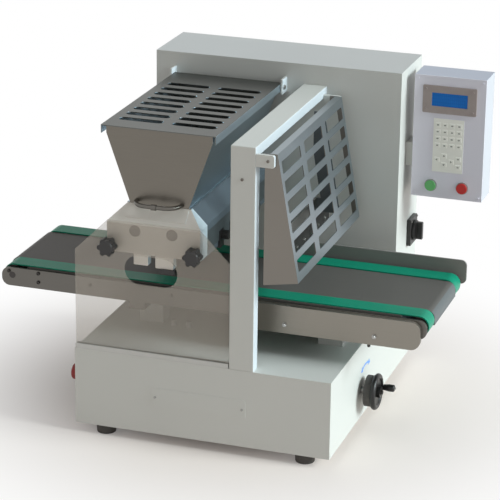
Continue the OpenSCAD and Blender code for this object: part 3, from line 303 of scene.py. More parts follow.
def printed_film(name, colour):
    """Keypad overlay: satin polyester film with a fine print screen."""
    f = Finish(name)
    grain = f.noise(scale=1700.0, detail=1.0)
    stain = f.noise(scale=45.0, detail=3.0)
    return f.surface({
        "Base Color": f.between(stain * 0.7 + grain * 0.3, colour, 0.92, 1.06),
        "Roughness": 0.4 + grain * 0.12,
        "Normal": f.bump(grain, distance=0.08 * MM, strength=0.2),
    })


PAINT = painted_sheet("painted_sheet", srgb(214, 213, 208), gloss=0.48)
# Painted shade: the housing's upward faces are darker than its other faces.
HOUSING_PAINT = painted_sheet("housing_paint", srgb(214, 213, 208), gloss=0.48, side=srgb(198, 197, 196))
# Painted light: the frame's faces along X, the post's and beam's right sides among them, are paler and
# bluer.
FRAME_PAINT = painted_sheet(
    "frame_paint", srgb(212, 211, 206), gloss=0.4, side=srgb(214, 220, 225), axis="X")
# Painted shade: the control box's upward faces are darker and a little bluer than its other faces.
BOX_PAINT = painted_sheet("box_paint", srgb(206, 207, 214), gloss=0.42, side=srgb(183, 186, 200))
PANEL = painted_sheet("panel_aluminium", srgb(229, 226, 236), gloss=0.36)
MOTOR_PAINT = painted_sheet("motor_paint", srgb(92, 104, 116), gloss=0.4)
# Painted light and reflection: the hopper's front and back faces are a darker brown steel, all its other
# faces a pale bluish steel.
HOPPER_STEEL = brushed_steel(
    "hopper_steel", srgb(186, 202, 212), stretch=(26.0, 1300.0, 1300.0), roughness=0.34,
    side=srgb(116, 111, 103), axis="Y")
# Painted highlight: the lid's faces along X are pale bluish, the rest a dark steel.
LID_STEEL = brushed_steel(
    "lid_steel", srgb(98, 100, 97), stretch=(30.0, 1300.0, 1300.0), roughness=0.4, side=srgb(206, 220, 228))
RAIL_STEEL = brushed_steel(
    "rail_steel", srgb(108, 105, 100), stretch=(8.0, 1300.0, 1300.0), roughness=0.4)
COVER_STEEL = brushed_steel(
    "cover_steel", srgb(142, 137, 128), stretch=(8.0, 1300.0, 1300.0), roughness=0.42)
FENCE_STEEL = brushed_steel(
    "fence_steel", srgb(136, 133, 129), stretch=(8.0, 1300.0, 1300.0), roughness=0.45, metal=0.0, mirror=0.1)
# Painted light and shade: the guard's front and back faces are a darker brown steel, its slope and flanges a
# paler bluish steel.
GUARD_STEEL = brushed_steel(
    "guard_steel", srgb(150, 159, 164), stretch=(1300.0, 16.0, 1300.0), roughness=0.42,
    side=srgb(126, 121, 114), axis="Y")
# Painted light: the bed's faces along X are a slightly paler, cooler tone.
BED_STEEL = brushed_steel(
    "bed_steel", srgb(100, 97, 93), stretch=(9.0, 1100.0, 1100.0), roughness=0.42,
    side=srgb(106, 109, 110), metal=0.0, mirror=0.08)
BRIGHT_STEEL = brushed_steel("machined_steel", srgb(168, 167, 164), stretch=(600.0,) * 3, roughness=0.3)
HANDLE_STEEL = brushed_steel("handle_steel", srgb(104, 101, 96), stretch=(500.0,) * 3, roughness=0.3)
# Blackened steel; on the plate bolts and the idler shaft its darkness also stands in for the shade they sit
# in.
DARK_STEEL = brushed_steel("blackened_steel_and_painted_shade", srgb(74, 71, 69), stretch=(500.0,) * 3, roughness=0.38)
BRASS = brushed_steel("nozzle_brass", srgb(196, 164, 96), stretch=(700.0, 700.0, 60.0), roughness=0.34)
# Painted highlight: the casting's faces along X, the front block's right chamfer and side among them, are
# near white and bluish.
HEAD_CAST = blasted_aluminium("head_casting", srgb(226, 220, 211), metal=0.12, side=srgb(226, 240, 248))
# Painted shade: the head body and nozzle plate are a dark slate copy of the head casting's tone, standing in
# for the shade on the head's sides.
SHADED_CAST = blasted_aluminium("head_side_painted_shade", srgb(104, 115, 123), metal=0.2)
CAP_CAST = blasted_aluminium("bearing_cap", srgb(128, 120, 112), metal=0.3)
BLOCK_CAST = blasted_aluminium("guide_casting", srgb(196, 194, 190), metal=0.3)
BLACK = moulded_plastic("black_plastic", srgb(44, 42, 41), roughness=0.42)
WHEEL_BLACK = moulded_plastic("wheel_plastic", srgb(24, 23, 22), roughness=0.36)
STRIP_GREY = moulded_plastic("strip_plastic", srgb(80, 86, 88), roughness=0.5)
BEZEL = moulded_plastic("bezel_plastic", srgb(162, 149, 145), roughness=0.44)
GREEN = moulded_plastic("green_plastic", srgb(106, 185, 112), roughness=0.36)
RED = moulded_plastic("red_plastic", srgb(198, 41, 38), roughness=0.36)
STOP_RED = moulded_plastic("stop_plastic", srgb(150, 30, 28), roughness=0.38)
BLUE_INK = moulded_plastic("arrow_ink", srgb(104, 156, 232), roughness=0.4)
KEY_INK = moulded_plastic("key_ink", srgb(146, 146, 138), roughness=0.45)
KEYPAD = printed_film("keypad_film", srgb(248, 246, 238))
RUBBER = foot_rubber("foot_rubber", srgb(70, 67, 64))
CLEAR = milky_sheet("clear_sheet", srgb(206, 196, 184), cover=0.29)
BELT = green_belt("green_belt", srgb(22, 142, 112))
SCREEN = display_glass("display_glass", lit=srgb(6, 90, 160), dim=srgb(4, 68, 132))

# The finish of each solid
WEAR = {
    "base_shell": PAINT, "base_bottom": PAINT, "rear_housing": HOUSING_PAINT, "rear_cover": PAINT,
    "bridge_frame": FRAME_PAINT, "guard_ears": FRAME_PAINT, "control_bracket": PAINT,
    "feet": RUBBER, "foot_studs": BRIGHT_STEEL, "cover_screws": BRIGHT_STEEL, "cable_gland": BLACK,
    "outfeed_guard": GUARD_STEEL, "guard_channel": BLOCK_CAST, "clear_guard": CLEAR,
    "guard_knob_left": BLACK, "guard_knob_right": BLACK,
    "head_body": SHADED_CAST, "head_front_block": HEAD_CAST, "bearing_caps": CAP_CAST,
    "roller_bearings": BRIGHT_STEEL, "feed_roller_left": BRIGHT_STEEL, "feed_roller_right": BRIGHT_STEEL,
    "roller_gear_left": DARK_STEEL, "roller_gear_right": DARK_STEEL, "drive_pinion": DARK_STEEL,
    "nozzle_plate": SHADED_CAST, "nozzles": BRASS, "plate_clamps": BLACK, "drive_motor": MOTOR_PAINT,
    "hopper": HOPPER_STEEL, "hopper_handle": HANDLE_STEEL, "lid_brackets": FRAME_PAINT,
    "hopper_lid": LID_STEEL,
    "control_box": BOX_PAINT, "control_panel": PANEL, "display_bezel": BEZEL, "display_screen": SCREEN,
    "keypad": KEYPAD, "start_button": GREEN, "stop_button": RED, "button_collars": BRIGHT_STEEL,
    "switch_body": BLACK, "switch_knob": WHEEL_BLACK, "estop_body": BLACK, "estop_button": STOP_RED,
    "handwheel": WHEEL_BLACK, "crank_handle": WHEEL_BLACK, "lift_shaft": BRIGHT_STEEL,
    "shaft_blocks": BLOCK_CAST, "guide_blocks": BLOCK_CAST, "lift_racks": BRIGHT_STEEL,
    "cross_members": RAIL_STEEL, "conveyor_plates": RAIL_STEEL, "bed_plate": BED_STEEL, "belts": BELT,
    "front_cover": COVER_STEEL, "rear_fence": FENCE_STEEL, "drive_shaft": DARK_STEEL,
    # The idler shaft's dark steel also paints the shade on its end.
    "idler_shaft": DARK_STEEL, "conveyor_motor": MOTOR_PAINT,
}
# The width of the broken edges in millimetres, on the solids whose edges show
EDGES = {
    "base_shell": 2.0, "rear_housing": 1.8, "rear_cover": 0.6, "bridge_frame": 1.6, "guard_ears": 1.2,
    "outfeed_guard": 0.5, "head_front_block": 1.4, "head_body": 1.2, "hopper": 0.6, "hopper_lid": 0.6,
    "control_box": 1.4, "control_panel": 0.8, "display_bezel": 0.8, "conveyor_plates": 0.8,
    "front_cover": 0.6, "rear_fence": 1.0, "lid_brackets": 0.8, "nozzle_plate": 0.8, "guide_blocks": 1.2,
    "cross_members": 0.8, "clear_guard": 0.8, "switch_body": 1.2, "switch_knob": 1.2, "plate_clamps": 0.8,
    "guard_channel": 0.5, "keypad": 0.25, "control_bracket": 0.8, "start_button": 1.0, "stop_button": 1.0,
    "button_collars": 0.8, "bearing_caps": 0.8, "feet": 1.5,
}
WELD_GAP = 0.002
FLAT_ANGLE = math.radians(0.4)
SHARP_ANGLE = math.radians(32)
HAIR_GAP = 0.15


def break_edges(solid, width):
    """Joins a solid's triangles into whole faces and rounds its sharp edges."""
    weld = solid.modifiers.new("join_faces", "WELD")
    weld.merge_threshold = WELD_GAP * MM
    flat = solid.modifiers.new("flat_faces", "DECIMATE")
    flat.decimate_type = "DISSOLVE"
    flat.angle_limit = FLAT_ANGLE
    edge = solid.modifiers.new("broken_edges", "BEVEL")
    edge.width = width * MM
    edge.segments = 2
    edge.limit_method = "ANGLE"
    edge.angle_limit = SHARP_ANGLE
    edge.harden_normals = True
    even = solid.modifiers.new("even_shading", "WEIGHTED_NORMAL")
    even.keep_sharp = True
    even.weight = 100


def finish_cad_nodes():
    """Gives every solid its finish, breaks the edges that show, and frees the clear sheet's faces."""
    for name, solid in NODES.items():
        for slot in solid.material_slots:
            slot.material = WEAR[name]
        if name in EDGES:
            break_edges(solid, EDGES[name])
    hair = NODES["clear_guard"].modifiers.new("hair_gap", "DISPLACE")
    hair.strength = -HAIR_GAP * MM
    hair.mid_level = 0.0


# Tools for the small trim: places and sizes in millimetres, a tree's own inputs in metres

def box_mm(name):
    """The low and high corner of a solid's box."""
    low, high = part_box(name)
    return low / MM, high / MM


def middle(name):
    low, high = box_mm(name)
    return (low + high) / 2


def seat_points(name, seats):
    """A mesh of bare points, each with the way its piece faces."""
    mesh = bpy.data.meshes.new(name)
    mesh.from_pydata([Vector(seat) * MM for seat, _ in seats], [], [])
    facing = mesh.attributes.new("facing", "FLOAT_VECTOR", "POINT")
    facing.data.foreach_set("vector", [c for _, way in seats for c in way])
    return mesh


def add_piece(name, mesh, finish, body):
    piece = bpy.data.objects.new(name, mesh)
    bpy.context.scene.collection.objects.link(piece)
    if not mesh.materials:
        mesh.materials.append(finish)
    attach(piece, body)
    return piece


def grow(group, name, seats, sizes, finish, body):
    """Runs a tree on the seats and keeps the result as a plain mesh."""
    seed = bpy.data.objects.new(name + "_seed", seat_points(name, seats))
    bpy.context.scene.collection.objects.link(seed)
    maker = seed.modifiers.new("maker", "NODES")
    maker.node_group = group
    keys = {item.name: item.identifier for item in group.interface.items_tree if item.in_out == "INPUT"}
    for key, value in sizes.items():
        maker[keys[key]] = value
    maker[keys["Finish"]] = finish
    depsgraph = bpy.context.evaluated_depsgraph_get()
    mesh = bpy.data.meshes.new_from_object(seed.evaluated_get(depsgraph))
    bpy.data.objects.remove(seed)
    mesh.name = name
    return add_piece(name, mesh, finish, body)


def new_group(name, inputs):
    """An empty geometry tree with named inputs, and the port of its inputs."""
    group = bpy.data.node_groups.new(name, "GeometryNodeTree")
    group.interface.new_socket(name="Geometry", in_out="INPUT", socket_type="NodeSocketGeometry")
    for key, kind in inputs.items():
        group.interface.new_socket(name=key, in_out="INPUT", socket_type="NodeSocket" + kind)
    group.interface.new_socket(name="Finish", in_out="INPUT", socket_type="NodeSocketMaterial")
    group.interface.new_socket(name="Geometry", in_out="OUTPUT", socket_type="NodeSocketGeometry")
    t = Tree(group)
    return group, t, t.node("NodeGroupInput")


def lifted(t, mesh, height):
    up = t.node("ShaderNodeCombineXYZ", None, {"Z": height})
    return t.node("GeometryNodeTransform", None, {"Geometry": mesh, "Translation": up})


def cylinder(t, sides, radius, depth):
    return t.node("GeometryNodeMeshCylinder", {"fill_type": "NGON"}, {
        "Vertices": sides, "Radius": radius, "Depth": depth})


def set_on_seats(t, given, shape):
    """One shape on each seat, turned to face its way, made real with its finish."""
    facing = t.node("GeometryNodeInputNamedAttribute", {"data_type": "FLOAT_VECTOR"}, {"Name": "facing"})
    turn = t.node("FunctionNodeAlignRotationToVector", {"axis": "Z"}, {"Vector": facing})
    placed = t.node("GeometryNodeInstanceOnPoints", None, {
        "Points": given.other("Geometry"), "Instance": shape, "Rotation": turn})
    real = t.node("GeometryNodeRealizeInstances", None, {"Geometry": placed})
    done = t.node("GeometryNodeSetMaterial", None, {"Geometry": real, "Material": given.other("Finish")})
    t.node("NodeGroupOutput", None, {"Geometry": done})


def fastener_group(washer_sides=28, chamfer_rise_share=0.14, chamfer_width_share=0.86):
    """A screw head on its washer: chamfered top, with a socket where it has one."""
    group, t, given = new_group("fastener_heads", {
        "Head radius": "Float", "Head height": "Float", "Head sides": "Int", "Washer radius": "Float",
        "Washer height": "Float", "Socket share": "Float", "Socket depth": "Float"})
    tall = given.other("Head height")
    thick = given.other("Washer height")
    washer = cylinder(t, washer_sides, given.other("Washer radius"), thick)
    head = cylinder(t, given.other("Head sides"), given.other("Head radius"), tall)
    rise = t.node("GeometryNodeExtrudeMesh", {"mode": "FACES"}, {
        "Mesh": head, "Selection": head.other("Top"), "Offset Scale": tall * chamfer_rise_share})
    chamfer = t.node("GeometryNodeScaleElements", None, {
        "Geometry": rise, "Selection": rise.other("Top"), "Scale": chamfer_width_share})
    rim = t.node("GeometryNodeExtrudeMesh", {"mode": "FACES"}, {
        "Mesh": chamfer, "Selection": rise.other("Top"), "Offset Scale": 0.0})
    mouth = t.node("GeometryNodeScaleElements", None, {
        "Geometry": rim, "Selection": rim.other("Top"), "Scale": given.other("Socket share")})
    socket = t.node("GeometryNodeExtrudeMesh", {"mode": "FACES"}, {
        "Mesh": mouth, "Selection": rim.other("Top"), "Offset Scale": 0.0 - given.other("Socket depth")})
    screw = t.node("GeometryNodeJoinGeometry", None, {"Geometry": [
        lifted(t, washer, thick * 0.5), lifted(t, socket, thick + tall * 0.5)]})
    set_on_seats(t, given, screw)
    return group


def rib_group(rib_sides=14):
    """A ring of round ribs about each seat's axis, for a hand's grip."""
    group, t, given = new_group("grip_ribs", {
        "Ring radius": "Float", "Rib radius": "Float", "Rib length": "Float", "Rib count": "Int"})
    long = given.other("Rib length")
    rib = cylinder(t, rib_sides, given.other("Rib radius"), long)
    ring = t.node("GeometryNodeMeshCircle", None, {
        "Vertices": given.other("Rib count"), "Radius": given.other("Ring radius")})
    ribs = t.node("GeometryNodeInstanceOnPoints", None, {
        "Points": ring, "Instance": lifted(t, rib, long * 0.5)})
    set_on_seats(t, given, t.node("GeometryNodeRealizeInstances", None, {"Geometry": ribs}))
    return group


def fin_group(fin_sides=36):
    """A row of thin discs along each seat's axis, for cooling fins."""
    group, t, given = new_group("cooling_fins", {
        "Fin radius": "Float", "Fin thickness": "Float", "Fin pitch": "Float", "Fin count": "Int"})
    fin = cylinder(t, fin_sides, given.other("Fin radius"), given.other("Fin thickness"))
    step = t.node("ShaderNodeCombineXYZ", None, {"Z": given.other("Fin pitch")})
    row = t.node("GeometryNodeMeshLine", None, {"Count": given.other("Fin count"), "Offset": step})
    fins = t.node("GeometryNodeInstanceOnPoints", None, {"Points": row, "Instance": fin})
    set_on_seats(t, given, t.node("GeometryNodeRealizeInstances", None, {"Geometry": fins}))
    return group


SCREWS = fastener_group()
RIBS = rib_group()
FINS = fin_group()
WASHER_HEIGHT = 1.2
SOCKET_SHARE = 0.58


def screws(name, seats, finish, body, radius, height, sides, washer_share, socket=0.0):
    """Screw heads, each on a washer given as a share of the head, with a socket of some depth."""
    return grow(SCREWS, name, seats, {
        "Head radius": radius * MM, "Head height": height * MM, "Head sides": sides,
        "Washer radius": radius * washer_share * MM, "Washer height": WASHER_HEIGHT * MM,
        "Socket share": SOCKET_SHARE, "Socket depth": socket * MM}, finish, body)


def ribs(name, seats, body, ring, radius, length, count):
    """Ribs of a length, in a ring about each seat's axis."""
    return grow(RIBS, name, seats, {
        "Ring radius": ring * MM, "Rib radius": radius * MM, "Rib length": length * MM, "Rib count": count},
        BLACK, body)


def flat_mesh(name, outline, thickness, corner, along, up):
    """An outline drawn out from a corner, its own axes given."""
    out = along.cross(up)
    corner = Vector(corner)
    shell = bmesh.new()
    front = [shell.verts.new((corner + along * x + up * y + out * thickness) * MM) for x, y in outline]
    back = [shell.verts.new((corner + along * x + up * y) * MM) for x, y in outline]
    shell.faces.new(front)
    shell.faces.new(back[::-1])
    for i in range(len(outline)):
        j = (i + 1) % len(outline)
        shell.faces.new([front[j], front[i], back[i], back[j]])
    bmesh.ops.recalc_face_normals(shell, faces=shell.faces)
    mesh = bpy.data.meshes.new(name)
    shell.to_mesh(mesh)
    shell.free()
    return mesh


def add_flat(name, outline, thickness, corner, along, up, finish, body):
    return add_piece(name, flat_mesh(name, outline, thickness, corner, along, up), finish, body)


def round_outline(width, height, radius, steps=6):
    """A rectangle about the origin with round corners."""
    points = []
    for turn, (sx, sy) in enumerate(((1, 1), (-1, 1), (-1, -1), (1, -1))):
        for i in range(steps + 1):
            a = math.radians(90 * turn + 90 * i / steps)
            points.append((sx * (width / 2 - radius) + radius * math.cos(a),
                           sy * (height / 2 - radius) + radius * math.sin(a)))
    return points


def disc_outline(radius, steps=12):
    return round_outline(2 * radius, 2 * radius, radius, steps)


def arrow_outline(radius, half_turn, width, head, steps=16, head_share=1.9):
    """A bent bar with a head at each end, its bow upwards, about the middle of the bow."""
    outer, inner = [], []
    for i in range(steps + 1):
        a = math.radians(90 + half_turn - 2 * half_turn * i / steps)
        outer.append(((radius + width / 2) * math.cos(a), (radius + width / 2) * math.sin(a) - radius))
        inner.append(((radius - width / 2) * math.cos(a), (radius - width / 2) * math.sin(a) - radius))

    def tip(sign):
        a = math.radians(90 - sign * half_turn)
        spoke = Vector((math.cos(a), math.sin(a)))
        ahead = Vector((math.sin(a), -math.cos(a))) * sign
        root = spoke * radius - Vector((0, radius))
        point = root + ahead * head * head_share
        return [tuple(root + spoke * head), tuple(point), tuple(root - spoke * head)]
    return outer + tip(1) + inner[::-1] + tip(-1)[::-1]


# Fasteners: places in millimetres from the box of the solid that carries them

PANEL_SCREW_INSET = 9
POST_SCREW_OFF, POST_SCREW_DROP = -2, 79
EAR_PIN_IN, EAR_PIN_RISE = 15, 16
GUIDE_HALF_X, GUIDE_HALF_Y = 31, 22.5
GUIDE_SCREW_X, GUIDE_SCREW_Y = 24, 15
BASE_STUDS_X, BASE_STUDS_Y = (-149, -110), -155
LID_PIVOT_IN, LID_PIVOT_RISE = 12, 16
SWITCH_SCREW_Y, SWITCH_SCREW_Z = 27, 30
PLATE_BOLTS = ((97, 40), (97, 17), (19, 38), (234, 28), (444, 28))
COVER_BOLT_FIRST, COVER_BOLT_LAST, COVER_BOLT_RISE = 90, 110, 22
COVER_FOOT_BACK, COVER_FOOT_IN = 124, 7
FENCE_BOLTS_ALONG, FENCE_BOLT_RISE = (40, 165, 290, 410), 11
HUB_PAST_SHAFT = 4


def add_control_screws():
    """Four screws at the corners of the control panel and of the display's bezel."""
    for name, plate, finish, slot in (("panel_screws", "control_panel", PANEL, "panel_aluminium"),
                                      ("bezel_screws", "display_bezel", BEZEL, "bezel_plastic")):
        low, high = box_mm(plate)
        seats = [((x, low.y, z), FRONT)
                 for x in (low.x + PANEL_SCREW_INSET, high.x - PANEL_SCREW_INSET)
                 for z in (low.z + PANEL_SCREW_INSET, high.z - PANEL_SCREW_INSET)]
        screws(name, seats, finish, "machine", radius=2.6, height=1.4, sides=20, washer_share=1.1,
               socket=0.8)


def add_frame_screws():
    """One screw high on the post, and one on each ear where the outfeed guard swings."""
    post_low, post_high = box_mm("bridge_frame")
    ears_low, ears_high = box_mm("guard_ears")
    pin_x, pin_z = ears_high.x - EAR_PIN_IN, ears_low.z + EAR_PIN_RISE
    post_x = (post_low.x + post_high.x) / 2 + POST_SCREW_OFF
    screws("frame_screws", [
        ((post_x, post_low.y, post_high.z - POST_SCREW_DROP), FRONT),
        ((pin_x, post_low.y, pin_z), FRONT),
        ((pin_x, ears_high.y, pin_z), BACK)],
        CAP_CAST, "machine", radius=3.0, height=1.8, sides=24, washer_share=1.2, socket=1.4)


def add_machine_screws():
    """Fasteners of the guide blocks, base, lid brackets and main switch."""
    low, high = box_mm("guide_blocks")
    screws("guide_screws", [
        ((x + side * GUIDE_SCREW_X, y + end * GUIDE_SCREW_Y, high.z), UP)
        for x in (low.x + GUIDE_HALF_X, high.x - GUIDE_HALF_X)
        for y in (low.y + GUIDE_HALF_Y, high.y - GUIDE_HALF_Y)
        for side in SIDES for end in SIDES],
        BRIGHT_STEEL, "machine", radius=4.0, height=4.0, sides=20, washer_share=1.2, socket=2.4)

    base_top = box_mm("base_shell")[1].z
    screws("base_studs", [((x, BASE_STUDS_Y, base_top), UP) for x in BASE_STUDS_X],
           BLOCK_CAST, "machine", radius=6.5, height=11.5, sides=24, washer_share=1.3)

    low, high = box_mm("lid_brackets")
    pivot_y, pivot_z = low.y + LID_PIVOT_IN, low.z + LID_PIVOT_RISE
    screws("lid_pivots", [((low.x, pivot_y, pivot_z), -RIGHT), ((high.x, pivot_y, pivot_z), RIGHT)],
           BRIGHT_STEEL, "machine", radius=5.0, height=2.5, sides=24, washer_share=1.3)

    face = box_mm("switch_body")[1].x
    switch = middle("switch_body")
    screws("switch_screws", [
        ((face, switch.y + side * SWITCH_SCREW_Y, switch.z + end * SWITCH_SCREW_Z), RIGHT)
        for side in SIDES for end in SIDES],
        BRIGHT_STEEL, "machine", radius=2.4, height=1.2, sides=20, washer_share=1.1, socket=0.7)


def add_conveyor_screws():
    """Fasteners of the conveyor's side plates, front cover and rear fence."""
    low, high = box_mm("conveyor_plates")
    # The plate bolts take the dark steel as painted shade, for the shadow they sit in.
    screws("plate_bolts", [
        ((low.x + along, y, low.z + rise), way)
        for y, way in ((low.y, FRONT), (high.y, BACK)) for along, rise in PLATE_BOLTS],
        DARK_STEEL, "conveyor", radius=3.6, height=2.6, sides=20, washer_share=1.35, socket=1.6)

    low, high = box_mm("front_cover")
    screws("cover_bolts", [
        ((x, low.y, low.z + COVER_BOLT_RISE), FRONT)
        for x in (low.x + COVER_BOLT_FIRST, high.x - COVER_BOLT_LAST)],
        BRIGHT_STEEL, "conveyor", radius=4.4, height=4.6, sides=6, washer_share=1.25)
    screws("cover_foot", [((high.x - COVER_FOOT_BACK, low.y + COVER_FOOT_IN, low.z), DOWN)],
           DARK_STEEL, "conveyor", radius=4.0, height=6.0, sides=6, washer_share=1.2)

    low, high = box_mm("rear_fence")
    screws("fence_bolts", [
        ((low.x + along, high.y, low.z + FENCE_BOLT_RISE), BACK) for along in FENCE_BOLTS_ALONG],
        BRIGHT_STEEL, "conveyor", radius=5.0, height=3.8, sides=6, washer_share=1.5)


def add_handwheel_screws():
    """The screw in the handwheel's hub and the one in the crank's grip."""
    shaft = middle("lift_shaft")
    hub_end = box_mm("lift_shaft")[1].x + HUB_PAST_SHAFT
    screws("hub_screw", [((hub_end, shaft.y, shaft.z), RIGHT)],
           DARK_STEEL, "lift_drive", radius=5.0, height=3.0, sides=24, washer_share=1.5, socket=2.0)
    grip = middle("crank_handle")
    grip_end = box_mm("crank_handle")[1].x
    screws("grip_screw", [((grip_end, grip.y, grip.z), RIGHT)],
           BRIGHT_STEEL, "crank_grip", radius=3.0, height=1.2, sides=20, washer_share=1.1, socket=0.7)


# Grips and fins

KNOB_GRIP_IN = 25
CLAMP_COUNT = 4
CLAMP_RIBS_IN, CLAMP_END, CLAMP_DROP = 18, 13, 12
FINS_IN, FINS_RISE = 6, 22
FIN_COUNT, FIN_PITCH, FIN_RADIUS, FIN_THICKNESS = 15, 8, 22.6, 1.6


def add_grips():
    """Ribs on the clamp knobs and on the nozzle plate's clamps."""
    for name, body in (("guard_knob_left", "knob_left"), ("guard_knob_right", "knob_right")):
        front = box_mm(name)[0].y
        knob = middle(name)
        ribs(name + "_ribs", [((knob.x, front + KNOB_GRIP_IN, knob.z), FRONT)], body,
             ring=15.8, radius=6.2, length=23.5, count=6)

    low, high = box_mm("plate_clamps")
    pitch = (high.y - low.y - 2 * CLAMP_END) / (CLAMP_COUNT - 1)
    seats = [((x, low.y + CLAMP_END + pitch * i, high.z - CLAMP_DROP), RIGHT * side)
             for x, side in ((low.x + CLAMP_RIBS_IN, -1), (high.x - CLAMP_RIBS_IN, 1))
             for i in range(CLAMP_COUNT)]
    ribs("clamp_ribs", seats, "machine", ring=9.9, radius=1.2, length=16.5, count=14)


def add_fins():
    """Cooling fins on the conveyor's motor."""
    low, high = box_mm("conveyor_motor")
    grow(FINS, "motor_fins", [((low.x + FINS_IN, (low.y + high.y) / 2, low.z + FINS_RISE), RIGHT)], {
        "Fin radius": FIN_RADIUS * MM, "Fin thickness": FIN_THICKNESS * MM,
        "Fin pitch": FIN_PITCH * MM, "Fin count": FIN_COUNT}, MOTOR_PAINT, "conveyor")


# Flat trim

APRON_BAR_IN, APRON_BAR_RISE, APRON_BAR_THICKNESS = 1, 82, 12
APRON_STRIP_IN, APRON_STRIP_RISE, APRON_STRIP_THICKNESS = 3, 36.5, 8
APRON_SCREW_COUNT, APRON_SCREW_START, APRON_SCREW_PITCH, APRON_SCREW_RISE = 8, 47, 57, 22
HANGER_BACK, HANGER_THICKNESS = 118, 2
# Corners of the hanger: how far in and how high from the guard's low corner
HANGER_OUTLINE = ((2, 316), (28, 316), (73, 64), (1, 64), (1, 98), (23, 98), (2, 215))
SIDE_STRIP_OFF, SIDE_STRIP_RISE, SIDE_STRIP_THICKNESS = 105, 28.5, 3
DISH_GAP, DISH_RADIUS, DISH_DEPTH = 14, 38.5, 17
# Name of each lug, its place from the head's middle, its width and how far it hangs down
LUGS = (("plate_lug_left", -39, 36, 34), ("plate_lug_right", 20, 45, 37))
LUG_IN, LUG_THICKNESS = 10, 20
PAD_OFF, PAD_AHEAD, PAD_DROP, PAD_THICKNESS = 29, 16, 42.5, 8
SLOPE_IN, SLOPE_DROP, SLOPE_STRIP_THICKNESS = 25.5, 14.5, 1


def add_apron():
    """The crumb apron inside the outfeed guard: bar, strip, screws and the hanger that carries them."""
    low, high = box_mm("outfeed_guard")
    guard_y = (low.y + high.y) / 2
    add_flat("apron_bar", round_outline(width=506, height=32, radius=3), APRON_BAR_THICKNESS,
             (low.x + APRON_BAR_IN, guard_y, low.z + APRON_BAR_RISE), BACK, UP,
             BRIGHT_STEEL, "swing_guard")
    strip_x = low.x + APRON_STRIP_IN
    add_flat("apron_strip", round_outline(width=470, height=60, radius=3), APRON_STRIP_THICKNESS,
             (strip_x, guard_y, low.z + APRON_STRIP_RISE), BACK, UP, BLACK, "swing_guard")
    screws("apron_screws", [
        ((strip_x + APRON_STRIP_THICKNESS, low.y + APRON_SCREW_START + APRON_SCREW_PITCH * i,
          low.z + APRON_SCREW_RISE), RIGHT) for i in range(APRON_SCREW_COUNT)],
        BRIGHT_STEEL, "swing_guard", radius=4.2, height=3.0, sides=20, washer_share=1.4, socket=1.6)
    add_flat("apron_hanger", HANGER_OUTLINE, HANGER_THICKNESS,
             (low.x, guard_y + HANGER_BACK, low.z), RIGHT, UP, STRIP_GREY, "swing_guard")


def add_strips():
    """Flat trim on the head, and the dish behind the handwheel's rim."""
    head = middle("head_body")
    head_foot = box_mm("head_body")[0].z
    block_low, block_high = box_mm("head_front_block")
    for name, side in (("side_strip_left", -1), ("side_strip_right", 1)):
        add_flat(name, round_outline(width=492, height=56, radius=2), SIDE_STRIP_THICKNESS,
                 (head.x + side * SIDE_STRIP_OFF, head.y, head_foot + SIDE_STRIP_RISE), BACK * side, UP,
                 STRIP_GREY, "machine")

    shaft = middle("lift_shaft")
    dish_x = box_mm("base_shell")[1].x + DISH_GAP
    add_flat("wheel_dish", disc_outline(DISH_RADIUS), DISH_DEPTH, (dish_x, shaft.y, shaft.z), BACK, UP,
             RUBBER, "lift_drive")

    lug_y = block_high.y - LUG_IN
    for name, off, wide, drop in LUGS:
        add_flat(name, round_outline(wide, drop, radius=2), LUG_THICKNESS,
                 (head.x + off, lug_y, head_foot - drop / 2), RIGHT, UP,
                 HEAD_CAST, "machine")
    add_flat("lug_pad", round_outline(width=36, height=11, radius=1), PAD_THICKNESS,
             (head.x + PAD_OFF, lug_y - PAD_AHEAD, head_foot - PAD_DROP), RIGHT, UP,
             BLACK, "machine")
    add_flat("slope_strip", round_outline(width=150, height=36, radius=2), SLOPE_STRIP_THICKNESS,
             (head.x, block_low.y + SLOPE_IN, block_high.z - SLOPE_DROP), RIGHT, (UP + BACK).normalized(),
             HEAD_CAST, "machine")


# Plate, arrow and key marks

PLATE_X, PLATE_RISE, PLATE_THICKNESS = -6, 95, 1
RIVET_OFF = 109
ARROW_BACK, ARROW_RISE, ARROW_THICKNESS = 33, 55, 0.4
KEY_COLUMNS, KEY_ROWS = 4, 4
KEY_PITCH, KEY_ROW_PITCH, KEY_TOP = 18, 17.5, 16
KEY_MARK_THICKNESS = 0.2
POINTER_RADIUS = 3.4
POINTER_ANGLES = (90, 210, 330)
# Column, row and turn of the pointer keys, then column and row of the two lower bar keys
POINTER_KEYS = ((1, 4.5, 0), (0, 5.1, 90), (2, 5.3, 270), (1, 5.8, 180))
LOWER_KEYS = ((3, 4.8), (3, 6))


def add_marks():
    """A blank plate on the base's front and a bent double arrow beside the handwheel."""
    low, high = box_mm("base_shell")
    plate_z = low.z + PLATE_RISE
    add_flat("name_plate", round_outline(width=236, height=48, radius=6), PLATE_THICKNESS,
             (PLATE_X, low.y, plate_z), RIGHT, UP, PAINT, "machine")
    screws("plate_rivets", [
        ((PLATE_X + side * RIVET_OFF, low.y - PLATE_THICKNESS, plate_z), FRONT) for side in SIDES],
        BRIGHT_STEEL, "machine", radius=2.6, height=1.2, sides=16, washer_share=1.2)
    shaft = middle("lift_shaft")
    add_flat("turn_arrow", arrow_outline(radius=75, half_turn=20, width=5, head=8), ARROW_THICKNESS,
             (high.x, shaft.y + ARROW_BACK, shaft.z + ARROW_RISE), BACK, UP,
             BLUE_INK, "machine")


